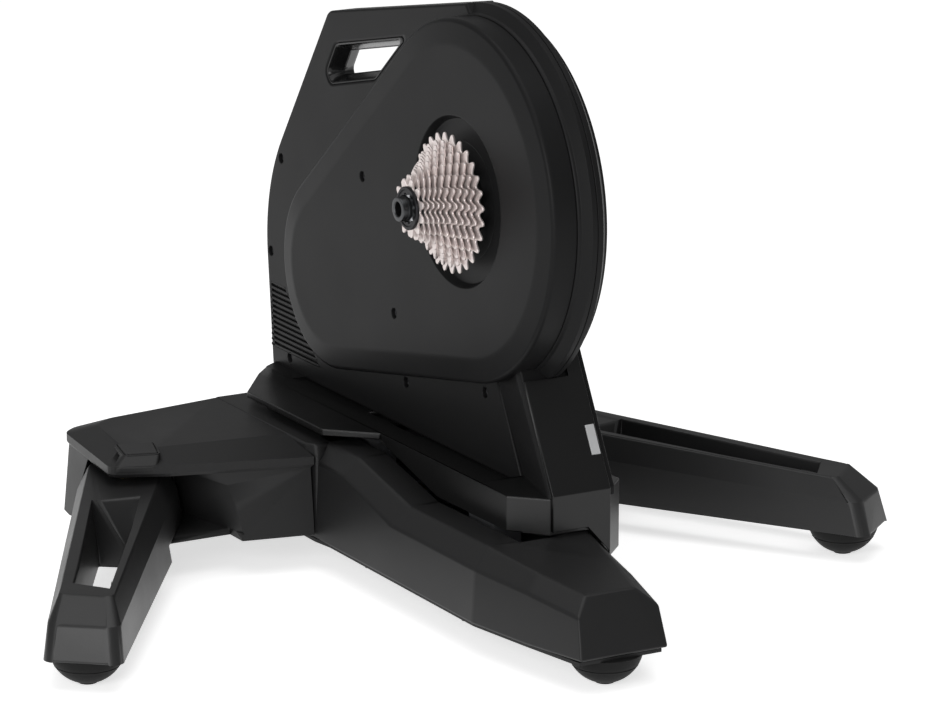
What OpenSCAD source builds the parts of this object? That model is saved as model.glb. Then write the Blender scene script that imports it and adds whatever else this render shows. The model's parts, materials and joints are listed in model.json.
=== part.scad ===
// Smart bike trainer: a folding three-armed base that carries a sliding
// resistance unit with a freehub and a cassette in place of the rear wheel.
// X points to the drive side, Y to the front and Z up. Lengths along Y are
// written from the wheel axle, and place() moves them to the part's origin.

/* [Axle and cassette] */
// Height of the wheel axle above the floor
axle_z = 353.2; // [350:0.2:356]
// Radius of the hollow fixed axle
axle_r = 8.5; // [8:0.1:9]
// Radius of the hole in each end cap for the bike's thru-axle
thru_r = 6.05; // [5.5:0.05:6.5]
// Distance from the body's middle plane to the drive side end cap's face
drop_right = 97; // [95:0.5:99]
// Distance from the body's middle plane to the far end cap's face
drop_left = 45; // [43:0.5:47]
// Radius of the freehub body that the sprockets sit on
freehub_r = 17; // [16:0.1:18]
// Distance from the body's middle plane to the largest sprocket
sprocket_x = 48; // [47:0.5:49]
// Distance from one sprocket to the next
sprocket_pitch = 3.74; // [3.6:0.02:3.95]
// Thickness of one sprocket
sprocket_t = 1.8; // [1.6:0.05:2]
// Radius of the drive side end cap
cap_r = 10.5; // [10:0.1:11]
// Radius of the lock ring
lock_r = 18.5; // [18:0.1:19]

/* [Body] */
// Sideways place of the body's middle plane, from the base's middle
seam_x = -38; // [-39:0.5:-37]
// Half of the body plates' thickness
body_half = 14; // [13:0.25:15]
// Wall thickness of the body shells
shell_wall = 3; // [2.5:0.25:4]
// Outer radius of the drum rim
drum_r = 165; // [164:0.5:167]
// Half width of the flat band round the drum rim
band_half = 5; // [4:0.5:6]
// Radial height of the bevel beside the band
rim_bevel = 8; // [6:0.5:9]
// Radius of the drive cover round the axle
cover_r = 155; // [153:0.5:156]
// Radius of the far cover round the axle
far_cover_r = 104; // [101:0.5:110]
// Radius of the covers round the flywheel
boss_r = 87.6; // [86:0.2:90]
// Distance of the flywheel behind the axle
fly_back = 239.4; // [238:0.2:241]
// Distance of the flywheel below the axle
fly_drop = 112.9; // [112:0.1:114]
// Depth of the covers' side wall beyond the body plate
cover_depth = 23; // [22:0.5:24]
// Rise of the covers' shallow face bevel
face_rise = 3; // [2:0.5:4]
// Width of the covers' shallow face bevel
face_bevel = 22; // [18:1:25]
// Wall thickness of the covers
cover_wall = 3.5; // [3:0.25:4]
// Radius of the recess round the cassette
recess_r = 73; // [71:0.5:75]
// Depth of the recess round the cassette
recess_depth = 7; // [6:0.5:8]
// Height of the body's lower edge above the floor
body_floor = 118; // [117.5:0.1:118.5]
// Number of vent grooves on each side
vent_count = 12; // [8:1:13]
// Height of one vent groove
vent_h = 2.4; // [1.6:0.2:3]
// Radius of the screw wells in the plates and the cover
well_r = 4.6; // [4.2:0.1:5]
// Narrowing of the carry handle from each face to the seam
handle_taper = 6.4; // [5:0.2:8]
// Wall thickness of the carry handle's sleeve
liner_wall = 2; // [1.6:0.1:2.6]

/* [Drive] */
// Gap between the belt and the drive cover's wall
belt_gap = 10.2; // [9.2:0.2:13]
// Radius of the small belt pulley
pinion_r = 17.25; // [16.5:0.25:18]
// Width of the belt
belt_w = 14; // [12:0.5:14.5]
// Thickness of the belt
belt_t = 3; // [2.5:0.1:3.5]
// Outer radius of the flywheel
fly_r = 78; // [74:0.5:80]
// Width of the flywheel
fly_w = 29; // [27:0.5:30]
// Thickness of the main frame plate
frame_t = 10.5; // [9:0.25:10.6]

/* [Column] */
// Half width of the front panel
panel_half = 28; // [26:0.5:29]
// Thickness of the front panel
panel_t = 4; // [3:0.25:5]
// Distance of the upright front face from the axle
front_y = 141.4; // [140:0.2:142]
// Height of the bend between the upright and the leaning face
bend_z = 129; // [127.5:0.5:131]
// Lean of the upper front face from upright
lean = 28.4; // [27:0.2:30]
// Height of the status window
window_h = 26; // [22:1:30]
// Width of the status window
window_w = 8.5; // [7:0.5:10]

/* [Saddle] */
// Height of the saddle flange's underside
saddle_low = 120; // [119.6:0.1:120.4]
// Height of the saddle flange's top
saddle_top = 126; // [125.5:0.1:126.5]
// Half width of the saddle's front part
saddle_half = 55; // [54:0.5:56]
// Half width of the saddle's rear part
saddle_wide = 93; // [91:0.5:95]
// Wall thickness of the saddle's skirt
skirt_t = 4; // [3:0.25:5]
// Travel of the saddle each way from the middle
slide_travel = 25; // [15:1:26]
// Radius of the two guide rails
rail_r = 8; // [7:0.25:9]
// Height of the guide rails above the floor
rail_z = 58; // [57:0.25:60]
// Distance of each guide rail from the base's middle
rail_x = 30; // [28:0.5:32]

/* [Base] */
// Height of the base's rear block and of the wings
deck_z = 112; // [111:0.25:112.5]
// Height of the low front part of the beam's deck
beam_deck_z = 92; // [90:0.25:93]
// Height of the beam's underside
beam_low_z = 29; // [28:0.25:30]
// Half width of the beam's deck
beam_top_half = 47; // [45:0.5:49]
// Half width of the beam below its bevel
beam_half = 62; // [60:0.5:64]
// Half width of the base's rear block
hub_half = 66; // [65:0.5:67]
// Distance of the hub's rear wall behind the axle
hub_rear = 335; // [333:0.5:337]
// Distance of the beam's front end from the axle
beam_front = 275.4; // [272:0.2:278]
// Wall thickness of the beam
beam_wall = 4; // [3:0.25:5]
// Half width of the slot in the beam's deck
slot_half = 19; // [18.5:0.25:21]
// Thickness of the bottom pan
pan_t = 3; // [2.5:0.25:3.5]
// Radius of the ball feet
foot_r = 31.8; // [31:0.1:32.5]

/* [Wings and legs] */
// Distance of each leg hinge from the base's middle
hinge_x = 200; // [199:0.5:201]
// Distance of the leg hinges behind the axle
hinge_back = 239; // [238:0.5:240]
// Radius of the hinge pins
pin_r = 7; // [6.5:0.1:7.5]
// Radial clearance of the hinge pins
pin_gap = 0.06; // [0.03:0.01:0.1]
// Height of the wings' underside
wing_low = 33; // [32:0.25:34]
// Height of the wings' overhanging rim
wing_rim = 94; // [93.5:0.25:95]
// Splay of the legs from straight ahead
leg_splay = 31.5; // [30:0.25:33]
// Length of the legs' top face from the hinge
leg_reach = 325; // [318:0.5:328]
// Height of the leg's top face at its root
leg_root_z = 90; // [88:0.25:90.5]
// Height of the leg's top face at its end
leg_end_z = 74; // [72:0.25:76]
// Height of the leg's underside
leg_low = 26; // [25:0.25:27]
// Distance of the side feet behind the end of the leg's top face
foot_back = 1; // [0:0.5:6]
// Press travel of the leg catch
latch_travel = 3.5; // [2:0.25:3.5]

/* [Hidden] */

$fn = 64;
eps = 0.02;
run_gap = 0.05;
liner_gap = 0.25;
liner_t = liner_gap + liner_wall;
// Pitch of the bicycle chain
chain_pitch = 12.7;
// Gap between the belt and its pulleys
belt_seat = 0.3;
pulley_r = cover_r - cover_wall - belt_gap - belt_t - belt_seat;
foot_reach = leg_reach - foot_back;
// Step of the opening behind each cover inside the cover's edge
cover_ledge = 9;

// Planes across the body, from its middle plane to the drive side
plate_x = seam_x + body_half;
cover_edge_x = plate_x + cover_depth;
cover_face_x = cover_edge_x + face_rise;
recess_x = cover_face_x - recess_depth;
cap_right_x = seam_x + drop_right;
cap_left_x = seam_x - drop_left;
axle_centre = [0, axle_z];
fly_centre = [-fly_back, axle_z - fly_drop];

// Planes of the drive, inside the covers
frame_x0 = seam_x;
frame_x1 = frame_x0 + frame_t;
pulley_x0 = frame_x1 + 4;
pulley_x1 = pulley_x0 + belt_w;
fly_x1 = frame_x0 - 3;
fly_x0 = fly_x1 - fly_w;
bearing_r = 15;
big_bearing_r = 17.5;
hub_tube_r = 24;

// Places of the plate screws and of the cover screws, as [y, z]
plate_screws = [[-373.6, 315], [-395.5, 224], [-359.5, 131], [-138, 160], [2, 184]];
cover_screw_points = [[-169, 341.6], [-112, 231.4]];

// Corners of the carry handle's opening, as [y, z, corner radius, loss of
// radius per millimetre that the opening narrows]
handle_corners = [
    [-277, 399.5, 10, 1], [-193, 419, 14, 1], [-131, 471, 3, 0.2], [-268, 441, 14, 1], [-288, 411, 10, 1],
];

// Unit vector along v
function unit(v) = v / norm(v);

// Points of an arc about c from angle a0 to a1 in n steps
function arc_points(c, r, a0, a1, n) =
    [for (i = [0:n]) c + r * [cos(a0 + (a1 - a0) * i / n), sin(a0 + (a1 - a0) * i / n)]];

// Closed loop round two circles, p with radius r and q with radius s
function loop_points(p, r, q, s, n = 60, m = 20) =
    let (v = q - p, e = atan2(v.y, v.x), phi = acos((r - s) / norm(v)))
    concat(arc_points(p, r, e + phi, e + 360 - phi, n), arc_points(q, s, e - phi, e + phi, m));

// Arc that rounds the corner b between a and c
function round_corner(a, b, c, r) =
    let (u = unit(a - b), v = unit(c - b), half = acos(u * v) / 2)
    let (centre = b + unit(u + v) * r / sin(half), p = b + u * r / tan(half))
    let (turn = 180 - 2 * half, side = cross(b - a, c - b) > 0 ? 1 : -1)
    let (a0 = atan2(p.y - centre.y, p.x - centre.x), n = max(3, ceil(turn / 8)))
    arc_points(centre, r, a0, a0 + side * turn, n);

// Outline whose corners [x, y, r] are rounded by their own radius
function rounded(list) = [
    for (i = [0:len(list) - 1])
        let (k = len(list), a = list[(i + k - 1) % k], b = list[i], c = list[(i + 1) % k])
        each b[2] > 0
            ? round_corner([a.x, a.y], [b.x, b.y], [c.x, c.y], b[2])
            : [[b.x, b.y]]
];

// Outline moved inwards by d, for points that run anticlockwise
function inset(list, d) = [
    for (i = [0:len(list) - 1])
        let (k = len(list), a = list[(i + k - 1) % k], b = list[i], c = list[(i + 1) % k])
        let (u = unit(b - a), v = unit(c - b), n1 = [-u.y, u.x], n2 = [-v.y, v.x])
        b + d * (n1 + n2) / (1 + n1 * n2)
];

// Solid through rings of points that each run anticlockwise about the way
// from the first ring to the last
module loft(rings) {
    n = len(rings[0]);
    last = len(rings) - 1;
    sides = [
        for (k = [0:last - 1], j = [0:n - 1])
            let (a = k * n + j, b = k * n + (j + 1) % n)
            each [[a, a + n, b + n], [a, b + n, b]]
    ];
    caps = [[for (j = [0:n - 1]) j], [for (j = [n - 1:-1:0]) last * n + j]];
    polyhedron(points = [for (ring = rings) each ring], faces = concat(sides, caps));
}

// Moves a piece drawn from the axle to the part's origin
module place() translate([0, axle_y, 0]) children();

// Extrudes a shape drawn in Y and Z from x0 to x1
module slab(x0, x1) translate([x0, 0, 0]) rotate([90, 0, 90]) linear_extrude(x1 - x0) children();

// Cylinder across the part about a point [y, z], from x0 to x1
module cross_rod(p, r, x0, x1) translate([x0, p.x, p.y]) rotate([0, 90, 0]) cylinder(r = r, h = x1 - x0);

// Ring across the part about a point [y, z]
module cross_ring(p, r_in, r_out, x0, x1) {
    difference() {
        cross_rod(p, r_out, x0, x1);
        cross_rod(p, r_in, x0 - 1, x1 + 1);
    }
}

// Block between two corners
module block(low, high) translate(low) cube(high - low);

// Outline in Y and Z turned into a ring of points at x
function at_x(x, list) = [for (p = list) [x, p.x, p.y]];

// Outline in X and Y turned into a ring of points at height z
function at_z(z, list) = [for (p = list) [p.x, p.y, z]];

// Draws a right-hand piece on the left of the base
module left_side() mirror([1, 0, 0]) children();

// Draws a drive side piece on the far side of the body
module far_side() translate([2 * seam_x, 0, 0]) mirror([1, 0, 0]) children();

// One section of the beam, moved inwards by t
function beam_ring(top, mid, low, t = 0) = [
    [-low[0] + t, low[1], low[2]], [-mid[0] + t, mid[1], mid[2] - t * 0.4],
    [-top[0] + t * 0.4, top[1], top[2] - t], [top[0] - t * 0.4, top[1], top[2] - t],
    [mid[0] - t, mid[1], mid[2] - t * 0.4], [low[0] - t, low[1], low[2]],
];

// Beam from the hub to its front end. Each section gives half width, place
// along Y and height of the deck's edge, the bevel's lower edge and the foot.
function beam_sections(t, drop) = let (w = beam_top_half, m = beam_half, z = beam_low_z - drop) [
    beam_ring([w, -172, deck_z], [m, -172, deck_z - 14], [m + 3, -172, z], t),
    beam_ring([w, -95, deck_z], [m, -95, deck_z - 14], [m + 3, -95, z], t),
    beam_ring([w, -2, beam_deck_z], [m, -10, beam_deck_z - 16], [m + 3, -10, z], t),
    beam_ring([w, 133, beam_deck_z + 1], [m, 137, beam_deck_z - 16], [m + 3, 137, z], t),
    beam_ring([w - 11, 196, beam_deck_z - 6.4], [m - 12, 205, beam_deck_z - 20], [m - 8, 205, z], t),
    beam_ring([23, beam_front - 24.5 - t, beam_deck_z - 12.9], [38, beam_front - 9.6 - t, beam_deck_z - 26.3],
        [41.4, beam_front - t, z + (t == 0 ? 2.3 : 0)], t),
];

module base_beam() color([0.13, 0.13, 0.135]) place() {
    difference() {
        union() {
            loft(beam_sections(0, 0));
            block([-hub_half, -hub_rear, beam_low_z], [hub_half, -150, deck_z]);
            loft([
                at_z(beam_low_z, [[-hub_half, -151], [hub_half, -151], [hub_half - 2, -139], [2 - hub_half, -139]]),
                at_z(deck_z - 9, [[-hub_half, -160], [hub_half, -160], [hub_half - 2, -141], [2 - hub_half, -141]]),
            ]);
        }
        loft(beam_sections(beam_wall, 1));
        block([beam_wall - hub_half, beam_wall - hub_rear, beam_low_z - 1],
            [hub_half - beam_wall, -160, deck_z - beam_wall]);
        block([-slot_half, -300, rail_z], [slot_half, 107 + slide_travel + 4, deck_z + 1]);
        for (p = pan_screw_points) translate([p.x, p.y, beam_low_z - 1]) cylinder(r = 2, h = 4);
    }
    beam_bosses();
}

// Places of the screws that hold the pan, as [x, y]
pan_screw_points = [
    for (side = [-1, 1], p = [[57, -300], [55, -60], [55, 110]]) [side * p.x, p.y]
];

// Bosses inside the beam that take the pan's screws
module beam_bosses() {
    for (p = pan_screw_points) {
        difference() {
            translate([p.x, p.y, beam_low_z]) cylinder(r = 6, h = 36);
            translate([p.x, p.y, beam_low_z - 1]) cylinder(r = 2, h = 20);
        }
    }
}

module pan_outline() {
    polygon([
        [-hub_half, -hub_rear], [hub_half, -hub_rear], [hub_half, -142], [beam_half + 1, -120],
        [beam_half + 1, 134], [52, 203], [40, beam_front - 6], [-40, beam_front - 6], [-52, 203],
        [-beam_half - 1, 134], [-beam_half - 1, -120], [-hub_half, -142],
    ]);
}

module base_pan() color([0.1, 0.1, 0.105]) place() {
    difference() {
        translate([0, 0, beam_low_z - pan_t]) linear_extrude(pan_t) offset(delta = -1.2) pan_outline();
        for (p = pan_screw_points) translate([p.x, p.y, 0]) cylinder(r = 2, h = 60);
    }
}

module pan_screws() color([0.35, 0.35, 0.36]) place() {
    for (p = pan_screw_points) {
        translate([p.x, p.y, beam_low_z - pan_t - 2.4]) cylinder(r = 4, h = 2.4);
        translate([p.x, p.y, beam_low_z - pan_t]) cylinder(r = 1.98, h = pan_t + 12);
    }
}

// Plan of a wing at its belt, its top edge and its underside
wing_belt = [[hub_half, -341], [206, -332], [222, -319], [236, -198], [187, -176], [hub_half, -141]];
wing_deck = [[hub_half, -331], [180, -316], [198.5, -303], [210, -224], [181, -210], [hub_half, -194]];
wing_foot = [[hub_half, -338], [206, -330], [224, -322], [228, -300], [190, -166], [hub_half, -141]];

// Plan of the catch's tab and of the nose that carries it
tab_plan = [[182, -224], [211.6, -233], [219, -201], [192, -193]];
tab_low = wing_rim + 12;
tab_top = deck_z + 0.8;
hinge = [hinge_x, -hinge_back];
tab_centre = [200, -212];

// Radius of the leg's root at its underside, belt and top
root_low_r = 50;
root_mid_r = 44;
root_top_r = 33.3;
bay_gap = 2;

module wing() {
    difference() {
        union() {
            loft([
                at_z(wing_low, wing_foot), at_z(wing_rim, inset(wing_belt, 2)),
                at_z(wing_rim + 3, wing_belt), at_z(wing_rim + 10, wing_belt), at_z(deck_z, wing_deck),
            ]);
            hull() {
                translate([0, 0, deck_z - 1]) linear_extrude(1) polygon(inset(tab_plan, -2.5));
                translate([0, 0, wing_rim + 8]) linear_extrude(1)
                    polygon([[178, -226], [212, -238], [234, -196], [197, -180]]);
            }
        }
        // Hollow beside the hub
        block([hub_half + 4, -hub_rear + 8, wing_low + 5], [138, -190, deck_z - 6]);
        // Bay round the leg's root, and the way that the leg swings through
        translate([hinge.x, hinge.y, wing_low + 6]) rotate_extrude()
            polygon([
                [0, 0], [root_low_r + bay_gap, 0], [root_mid_r + bay_gap, 30],
                [root_top_r + bay_gap, wing_rim - wing_low - 6], [0, wing_rim - wing_low - 6],
            ]);
        loft([
            at_z(wing_low + 6, [[146, -hinge_back], [300, -hinge_back], [300, -100], [128, -100], [128, -158]]),
            at_z(wing_rim, [[160, -hinge_back], [300, -hinge_back], [300, -100], [147, -100], [147, -158]]),
        ]);
        block([130, -178, wing_low - 5], [300, -100, wing_low + 7]);
        block([228, -300, wing_low - 5], [300, -100, wing_low + 7]);
        // Seats of the hinge pin and of the catch
        translate([hinge.x, hinge.y, wing_low - 1]) cylinder(r = pin_r, h = deck_z - wing_low - 5);
        translate([hinge.x, hinge.y, wing_low - 1]) cylinder(r = pin_r + 4, h = 4);
        translate([0, 0, tab_low - latch_travel - 0.5]) linear_extrude(30) polygon(inset(tab_plan, -0.5));
        translate([tab_centre.x, tab_centre.y, wing_rim - 5]) cylinder(r = 3.2, h = 30);
        translate([tab_centre.x, tab_centre.y, wing_rim + 3]) cylinder(r = 6, h = 30);
    }
}

module wing_right() color([0.14, 0.14, 0.145]) place() wing();

module wing_left() color([0.14, 0.14, 0.145]) place() left_side() wing();

module hinge_pin() {
    translate([hinge.x, hinge.y, wing_low]) cylinder(r = pin_r, h = deck_z - wing_low - 6);
    translate([hinge.x, hinge.y, wing_low]) cylinder(r = pin_r + 4, h = 3);
}

module hinge_pins() color([0.5, 0.5, 0.52]) place() {
    hinge_pin();
    left_side() hinge_pin();
}

// Springs under the catches: coils that climb from seat to tab
spring_low = wing_rim + 3;
spring_len = tab_low - spring_low;
spring_r = 4.7;
wire_r = 0.7;
spring_turns = 4;
ring_steps = 10;
wire_sides = 6;

// One ring of the wire at step i of the coil
function wire_ring(i) =
    let (n = spring_turns * ring_steps, a = 360 * i / ring_steps, out = [cos(a), sin(a), 0])
    let (z = wire_r + eps + (spring_len - 2 * (wire_r + eps)) * i / n)
    [for (j = [0:wire_sides - 1]) let (b = -360 * j / wire_sides)
        (spring_r + wire_r * cos(b)) * out + [0, 0, z + wire_r * sin(b)]];

module latch_spring() {
    translate([tab_centre.x, tab_centre.y, spring_low])
        loft([for (i = [0:spring_turns * ring_steps]) wire_ring(i)]);
}

module latch_spring_right() color([0.6, 0.6, 0.62]) place() latch_spring();

module latch_spring_left() color([0.6, 0.6, 0.62]) place() left_side() latch_spring();

module latch() {
    translate([0, 0, tab_low]) linear_extrude(tab_top - tab_low) polygon(tab_plan);
    translate([tab_centre.x, tab_centre.y, wing_rim + 1]) cylinder(r = 3, h = tab_low - wing_rim - 1 + eps);
}

module latch_right() color([0.17, 0.17, 0.175]) place() latch();

module latch_left() color([0.17, 0.17, 0.175]) place() left_side() latch();

// Leg: directions along the leg and across it, outwards
leg_dir = [sin(leg_splay), cos(leg_splay)];
leg_out = [cos(leg_splay), -sin(leg_splay)];
leg_angle = 90 - leg_splay;

// Plan of the leg: a round root about the hinge and a slanted end with
// rounded corners
function leg_plan(root, end, reach_out, reach_in, corner) =
    let (a = hinge + reach_out * leg_dir + end * leg_out, b = hinge + reach_in * leg_dir - end * leg_out)
    let (root_arc = arc_points(hinge, root, leg_angle + 90, leg_angle + 270, 16))
    let (p = root_arc[16], q = root_arc[0])
    concat(root_arc, round_corner(p, a, b, corner), round_corner(a, b, q, corner));

// Height along the leg, from z0 at the hinge to z1 at its end
function leg_ring(list, z0, z1) = [
    for (p = list)
        let (s = max(0, (p - hinge) * leg_dir) / leg_reach)
        [p.x, p.y, z0 + (z1 - z0) * min(s, 1)]
];

// Corner of the leg's pocket at a distance along the leg and across it
function leg_point(along, across) = hinge + along * leg_dir + across * leg_out;

module leg() {
    difference() {
        loft([
            leg_ring(leg_plan(root_low_r, 33, leg_reach + 29, leg_reach + 38, 11), leg_low, leg_low),
            leg_ring(leg_plan(root_mid_r, 30, leg_reach + 21, leg_reach + 28, 11), 68, leg_end_z - 18.5),
            leg_ring(leg_plan(root_top_r, 22.5, leg_reach - 4, leg_reach + 3, 6), leg_root_z, leg_end_z),
        ]);
        // Step over the wing's floor
        translate([hinge.x, hinge.y, 0]) cylinder(r = 88, h = wing_low + 6.6);
        // Bore for the bush
        translate([hinge.x, hinge.y, 0]) cylinder(r = pin_r + 2.5, h = 200);
        // Pocket through the leg
        loft([
            at_z(leg_low - 1, [
                leg_point(97, -17), leg_point(92, 15), leg_point(leg_reach - 23, 12), leg_point(leg_reach - 13, -14),
            ]),
            at_z(leg_root_z + 1, [
                leg_point(75, -22), leg_point(91, 21.5), leg_point(leg_reach - 33, 13), leg_point(leg_reach - 22, -18),
            ]),
        ]);
    }
}

module leg_right() color([0.15, 0.15, 0.155]) place() leg();

module leg_left() color([0.15, 0.15, 0.155]) place() left_side() leg();

module hinge_bush() {
    difference() {
        translate([hinge.x, hinge.y, wing_low + 6.6]) cylinder(r = pin_r + 2.5, h = leg_root_z - wing_low - 6.6);
        translate([hinge.x, hinge.y, 0]) cylinder(r = pin_r + pin_gap, h = 200);
    }
}

module hinge_bush_right() color([0.72, 0.6, 0.35]) place() hinge_bush();

module hinge_bush_left() color([0.72, 0.6, 0.35]) place() left_side() hinge_bush();

// Ball foot cut flat where it meets the housing above it
module ball_foot(p, top) {
    translate([p.x, p.y, 0]) rotate_extrude() intersection() {
        translate([0, foot_r]) circle(r = foot_r, $fn = 96);
        square([foot_r + 1, top]);
    }
}

side_foot = leg_point(foot_reach, 0);
rear_foot_x = 46;

module leg_foot_right() color([0.07, 0.07, 0.07]) place() ball_foot(side_foot, leg_low);

module leg_foot_left() color([0.07, 0.07, 0.07]) place() left_side() ball_foot(side_foot, leg_low);

module front_foot() color([0.07, 0.07, 0.07]) place()
    ball_foot([0, beam_front - foot_r], beam_low_z - pan_t);

module rear_feet() color([0.07, 0.07, 0.07]) place() {
    for (side = [-1, 1])
        ball_foot([side * rear_foot_x, foot_r + 2 - hub_rear], beam_low_z - pan_t - 2.5);
}

// Slide: two rails in the base, two blocks on the saddle
block_half = 30;
block_rear_y = -160;
block_front_y = 60;
buffer_len = 9;
stop_gap = slide_travel + 0.4;
rail_rear_y = block_rear_y - block_half - stop_gap - buffer_len;
rail_front_y = block_front_y + block_half + stop_gap + buffer_len;
rail_block_t = 18;

module guide_rails() color([0.62, 0.63, 0.65]) place() {
    for (side = [-1, 1])
        translate([side * rail_x, rail_rear_y - rail_block_t, rail_z]) rotate([-90, 0, 0])
            cylinder(r = rail_r, h = rail_front_y - rail_rear_y + 2 * rail_block_t);
}

// Cross block that holds the rails, with its rear face at y
module rail_block(y) {
    difference() {
        block([-rail_x - 14, y, beam_low_z], [rail_x + 14, y + rail_block_t, rail_z + 14]);
        for (side = [-1, 1])
            translate([side * rail_x, y - 1, rail_z]) rotate([-90, 0, 0])
                cylinder(r = rail_r, h = rail_block_t + 2);
    }
}

module rail_blocks() color([0.42, 0.42, 0.44]) place() {
    rail_block(rail_rear_y - rail_block_t);
    rail_block(rail_front_y);
}

// Rubber ring round a rail, with its rear face at y
module rail_buffer(side, y) {
    translate([side * rail_x, y, rail_z]) rotate([-90, 0, 0]) difference() {
        cylinder(r = rail_r + 5, h = buffer_len);
        translate([0, 0, -1]) cylinder(r = rail_r, h = buffer_len + 2);
    }
}

module rail_buffers() color([0.08, 0.08, 0.08]) place() {
    for (side = [-1, 1]) {
        rail_buffer(side, rail_rear_y);
        rail_buffer(side, rail_front_y - buffer_len);
    }
}

bush_wall = 3;

// Block that rides on both rails, with its middle at y, and its post
module slide_block(y) {
    difference() {
        union() {
            block([-rail_x - 15, y - block_half, rail_z - 13], [rail_x + 15, y + block_half, rail_z + 13]);
            block([-14, y - 22, rail_z], [12, y + 22, saddle_low - 5.5]);
        }
        for (side = [-1, 1])
            translate([side * rail_x, y - block_half - 1, rail_z]) rotate([-90, 0, 0])
                cylinder(r = rail_r + bush_wall, h = 2 * block_half + 2);
    }
}

module slide_blocks() color([0.5, 0.5, 0.52]) place() {
    slide_block(block_rear_y);
    slide_block(block_front_y);
}

module slide_bushes() color([0.72, 0.6, 0.35]) place() {
    for (side = [-1, 1], y = [block_rear_y, block_front_y])
        translate([side * rail_x, y - block_half, rail_z]) rotate([-90, 0, 0]) difference() {
            cylinder(r = rail_r + bush_wall, h = 2 * block_half);
            translate([0, 0, -1]) cylinder(r = rail_r + run_gap, h = 2 * block_half + 2);
        }
}

// Saddle plan, anticlockwise, symmetric about the body's middle plane
saddle_right = [
    [body_half, -398], [saddle_wide, -291], [saddle_wide, -147], [saddle_half, -110],
    [saddle_half, front_y - 31], [panel_half, front_y - panel_t],
];
saddle_plan = concat(
    [for (p = saddle_right) [seam_x + p.x, p.y]],
    [for (i = [len(saddle_right) - 1:-1:0]) [seam_x - saddle_right[i].x, saddle_right[i].y]]
);
skirt_plan = concat(
    [for (i = [3:5]) [seam_x + saddle_right[i].x, saddle_right[i].y]],
    [for (i = [5:-1:3]) [seam_x - saddle_right[i].x, saddle_right[i].y]]
);
core_low = saddle_low - 5.5;

module saddle() color([0.15, 0.15, 0.155]) place() {
    difference() {
        union() {
            translate([0, 0, saddle_low]) linear_extrude(saddle_top - saddle_low) polygon(saddle_plan);
            block([seam_x - 22, -330, core_low], [14, 100, saddle_low + 1]);
            translate([0, 0, beam_deck_z + 2]) linear_extrude(saddle_low - beam_deck_z - 1) difference() {
                polygon(skirt_plan);
                polygon(inset(skirt_plan, skirt_t));
            }
            // Lower corner beside the beam, on the far side
            translate([0, 0, 66]) linear_extrude(saddle_low - 65) intersection() {
                polygon(skirt_plan);
                translate([-200, 86]) square([200 - beam_half - 5, 100]);
            }
        }
        // Open rear of the skirt
        block([seam_x - saddle_half - 1, -120, 60], [seam_x + saddle_half + 1, -104, core_low]);
        // Skirt's lower edge follows the beam's deck
        slab(-40, 60) polygon([[-200, 50], [120, 50], [120, 95.5], [-8, 94], [-96, 115], [-110, 119], [-200, 119]]);
        slab(seam_x - 60, seam_x - saddle_half + skirt_t + 1)
            polygon([[-200, 50], [85, 50], [85, 95], [-8, 94], [-96, 115], [-110, 119], [-200, 119]]);
        // Seat of the body
        block([plate_x - 2 * body_half - 0.1, -500, body_floor], [plate_x + 0.1, body_toe + 0.1, 200]);
        block([-60, -500, body_floor], [plate_x, -398, 200]);
        // Dished top beside the body
        for (side = [1, -1])
            translate([seam_x, body_toe, 0]) rotate([90, 0, 0]) linear_extrude(600)
                polygon([
                    [side * body_half, body_floor], [side * saddle_half, saddle_top + eps],
                    [side * saddle_half, 150], [side * body_half, 150],
                ]);
    }
}

// Main frame: cast plate that carries the axle and the flywheel
module main_frame() color([0.55, 0.56, 0.58]) place() {
    foot_y0 = -300;
    foot_y1 = 30;
    slab(frame_x0, frame_x1) difference() {
        union() {
            polygon(loop_points(axle_centre, 44, fly_centre, 34));
            polygon(loop_points(axle_centre, 40, [-60, 150], 24));
            polygon(loop_points(fly_centre, 34, [-270, 150], 26));
            polygon([[foot_y0, body_floor], [foot_y1, body_floor], [foot_y1, 150], [foot_y0, 150]]);
        }
        translate(axle_centre) circle(r = axle_r);
        translate(fly_centre) circle(r = big_bearing_r);
    }
    cross_ring(axle_centre, axle_r, hub_tube_r, seam_x - 26, frame_x0);
    cross_ring(fly_centre, big_bearing_r, hub_tube_r, fly_x0 + 8, frame_x0);
    for (side = [0, 1])
        block([side == 0 ? plate_x - 2 * body_half + shell_wall + 0.3 : frame_x1, foot_y0, body_floor],
            [side == 0 ? frame_x0 : plate_x - shell_wall - 0.3, foot_y1, body_floor + 8]);
}

// Foot of the body's front edge, where the column begins
body_toe = 66;

// Foot of the body's rear edge
body_heel = -394.5;

// Body outline in Y and Z, without the drum, as [y, z, corner radius]
body_corners = [
    [body_heel, body_floor, 0], [body_toe, body_floor, 0], [24, 193, 0], [0, axle_z, 0],
    [-32, axle_z + 161.9, 0], [-280.8, 466.7, 15], [-409.7, 282, 168],
];
body_outline = rounded(body_corners);

// Shift that puts the middle of the part's length at the origin
axle_y = (-min([for (p = body_outline) p.x]) - beam_front) / 2;

// Handle opening, smaller by d all round
function handle_loop(d) =
    let (list = inset([for (c = handle_corners) [c.x, c.y]], d))
    rounded([
        for (i = [0:len(list) - 1])
            [list[i].x, list[i].y, handle_corners[i][2] - d * handle_corners[i][3]]
    ]);

// Ring of the handle opening at x, smaller by d, which narrows to the seam
function handle_ring(x, d) =
    at_x(x, handle_loop(d + handle_taper * (1 - abs(x - seam_x) / (body_half + 1))));

// Outline of a cover of radius r round the axle, with both radii smaller by d
function cover_loop(d, r) = loop_points(axle_centre, r - d, fly_centre, boss_r - d);

// Place of the leaning front face at height z
function front_at(z) = front_y - max(0, z - bend_z) * tan(lean);

// Inner radius of the drum's rim
rim_in = cover_r - cover_ledge + 1;

// Top of the column, beside the drum's rim
column_top = 245;

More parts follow.
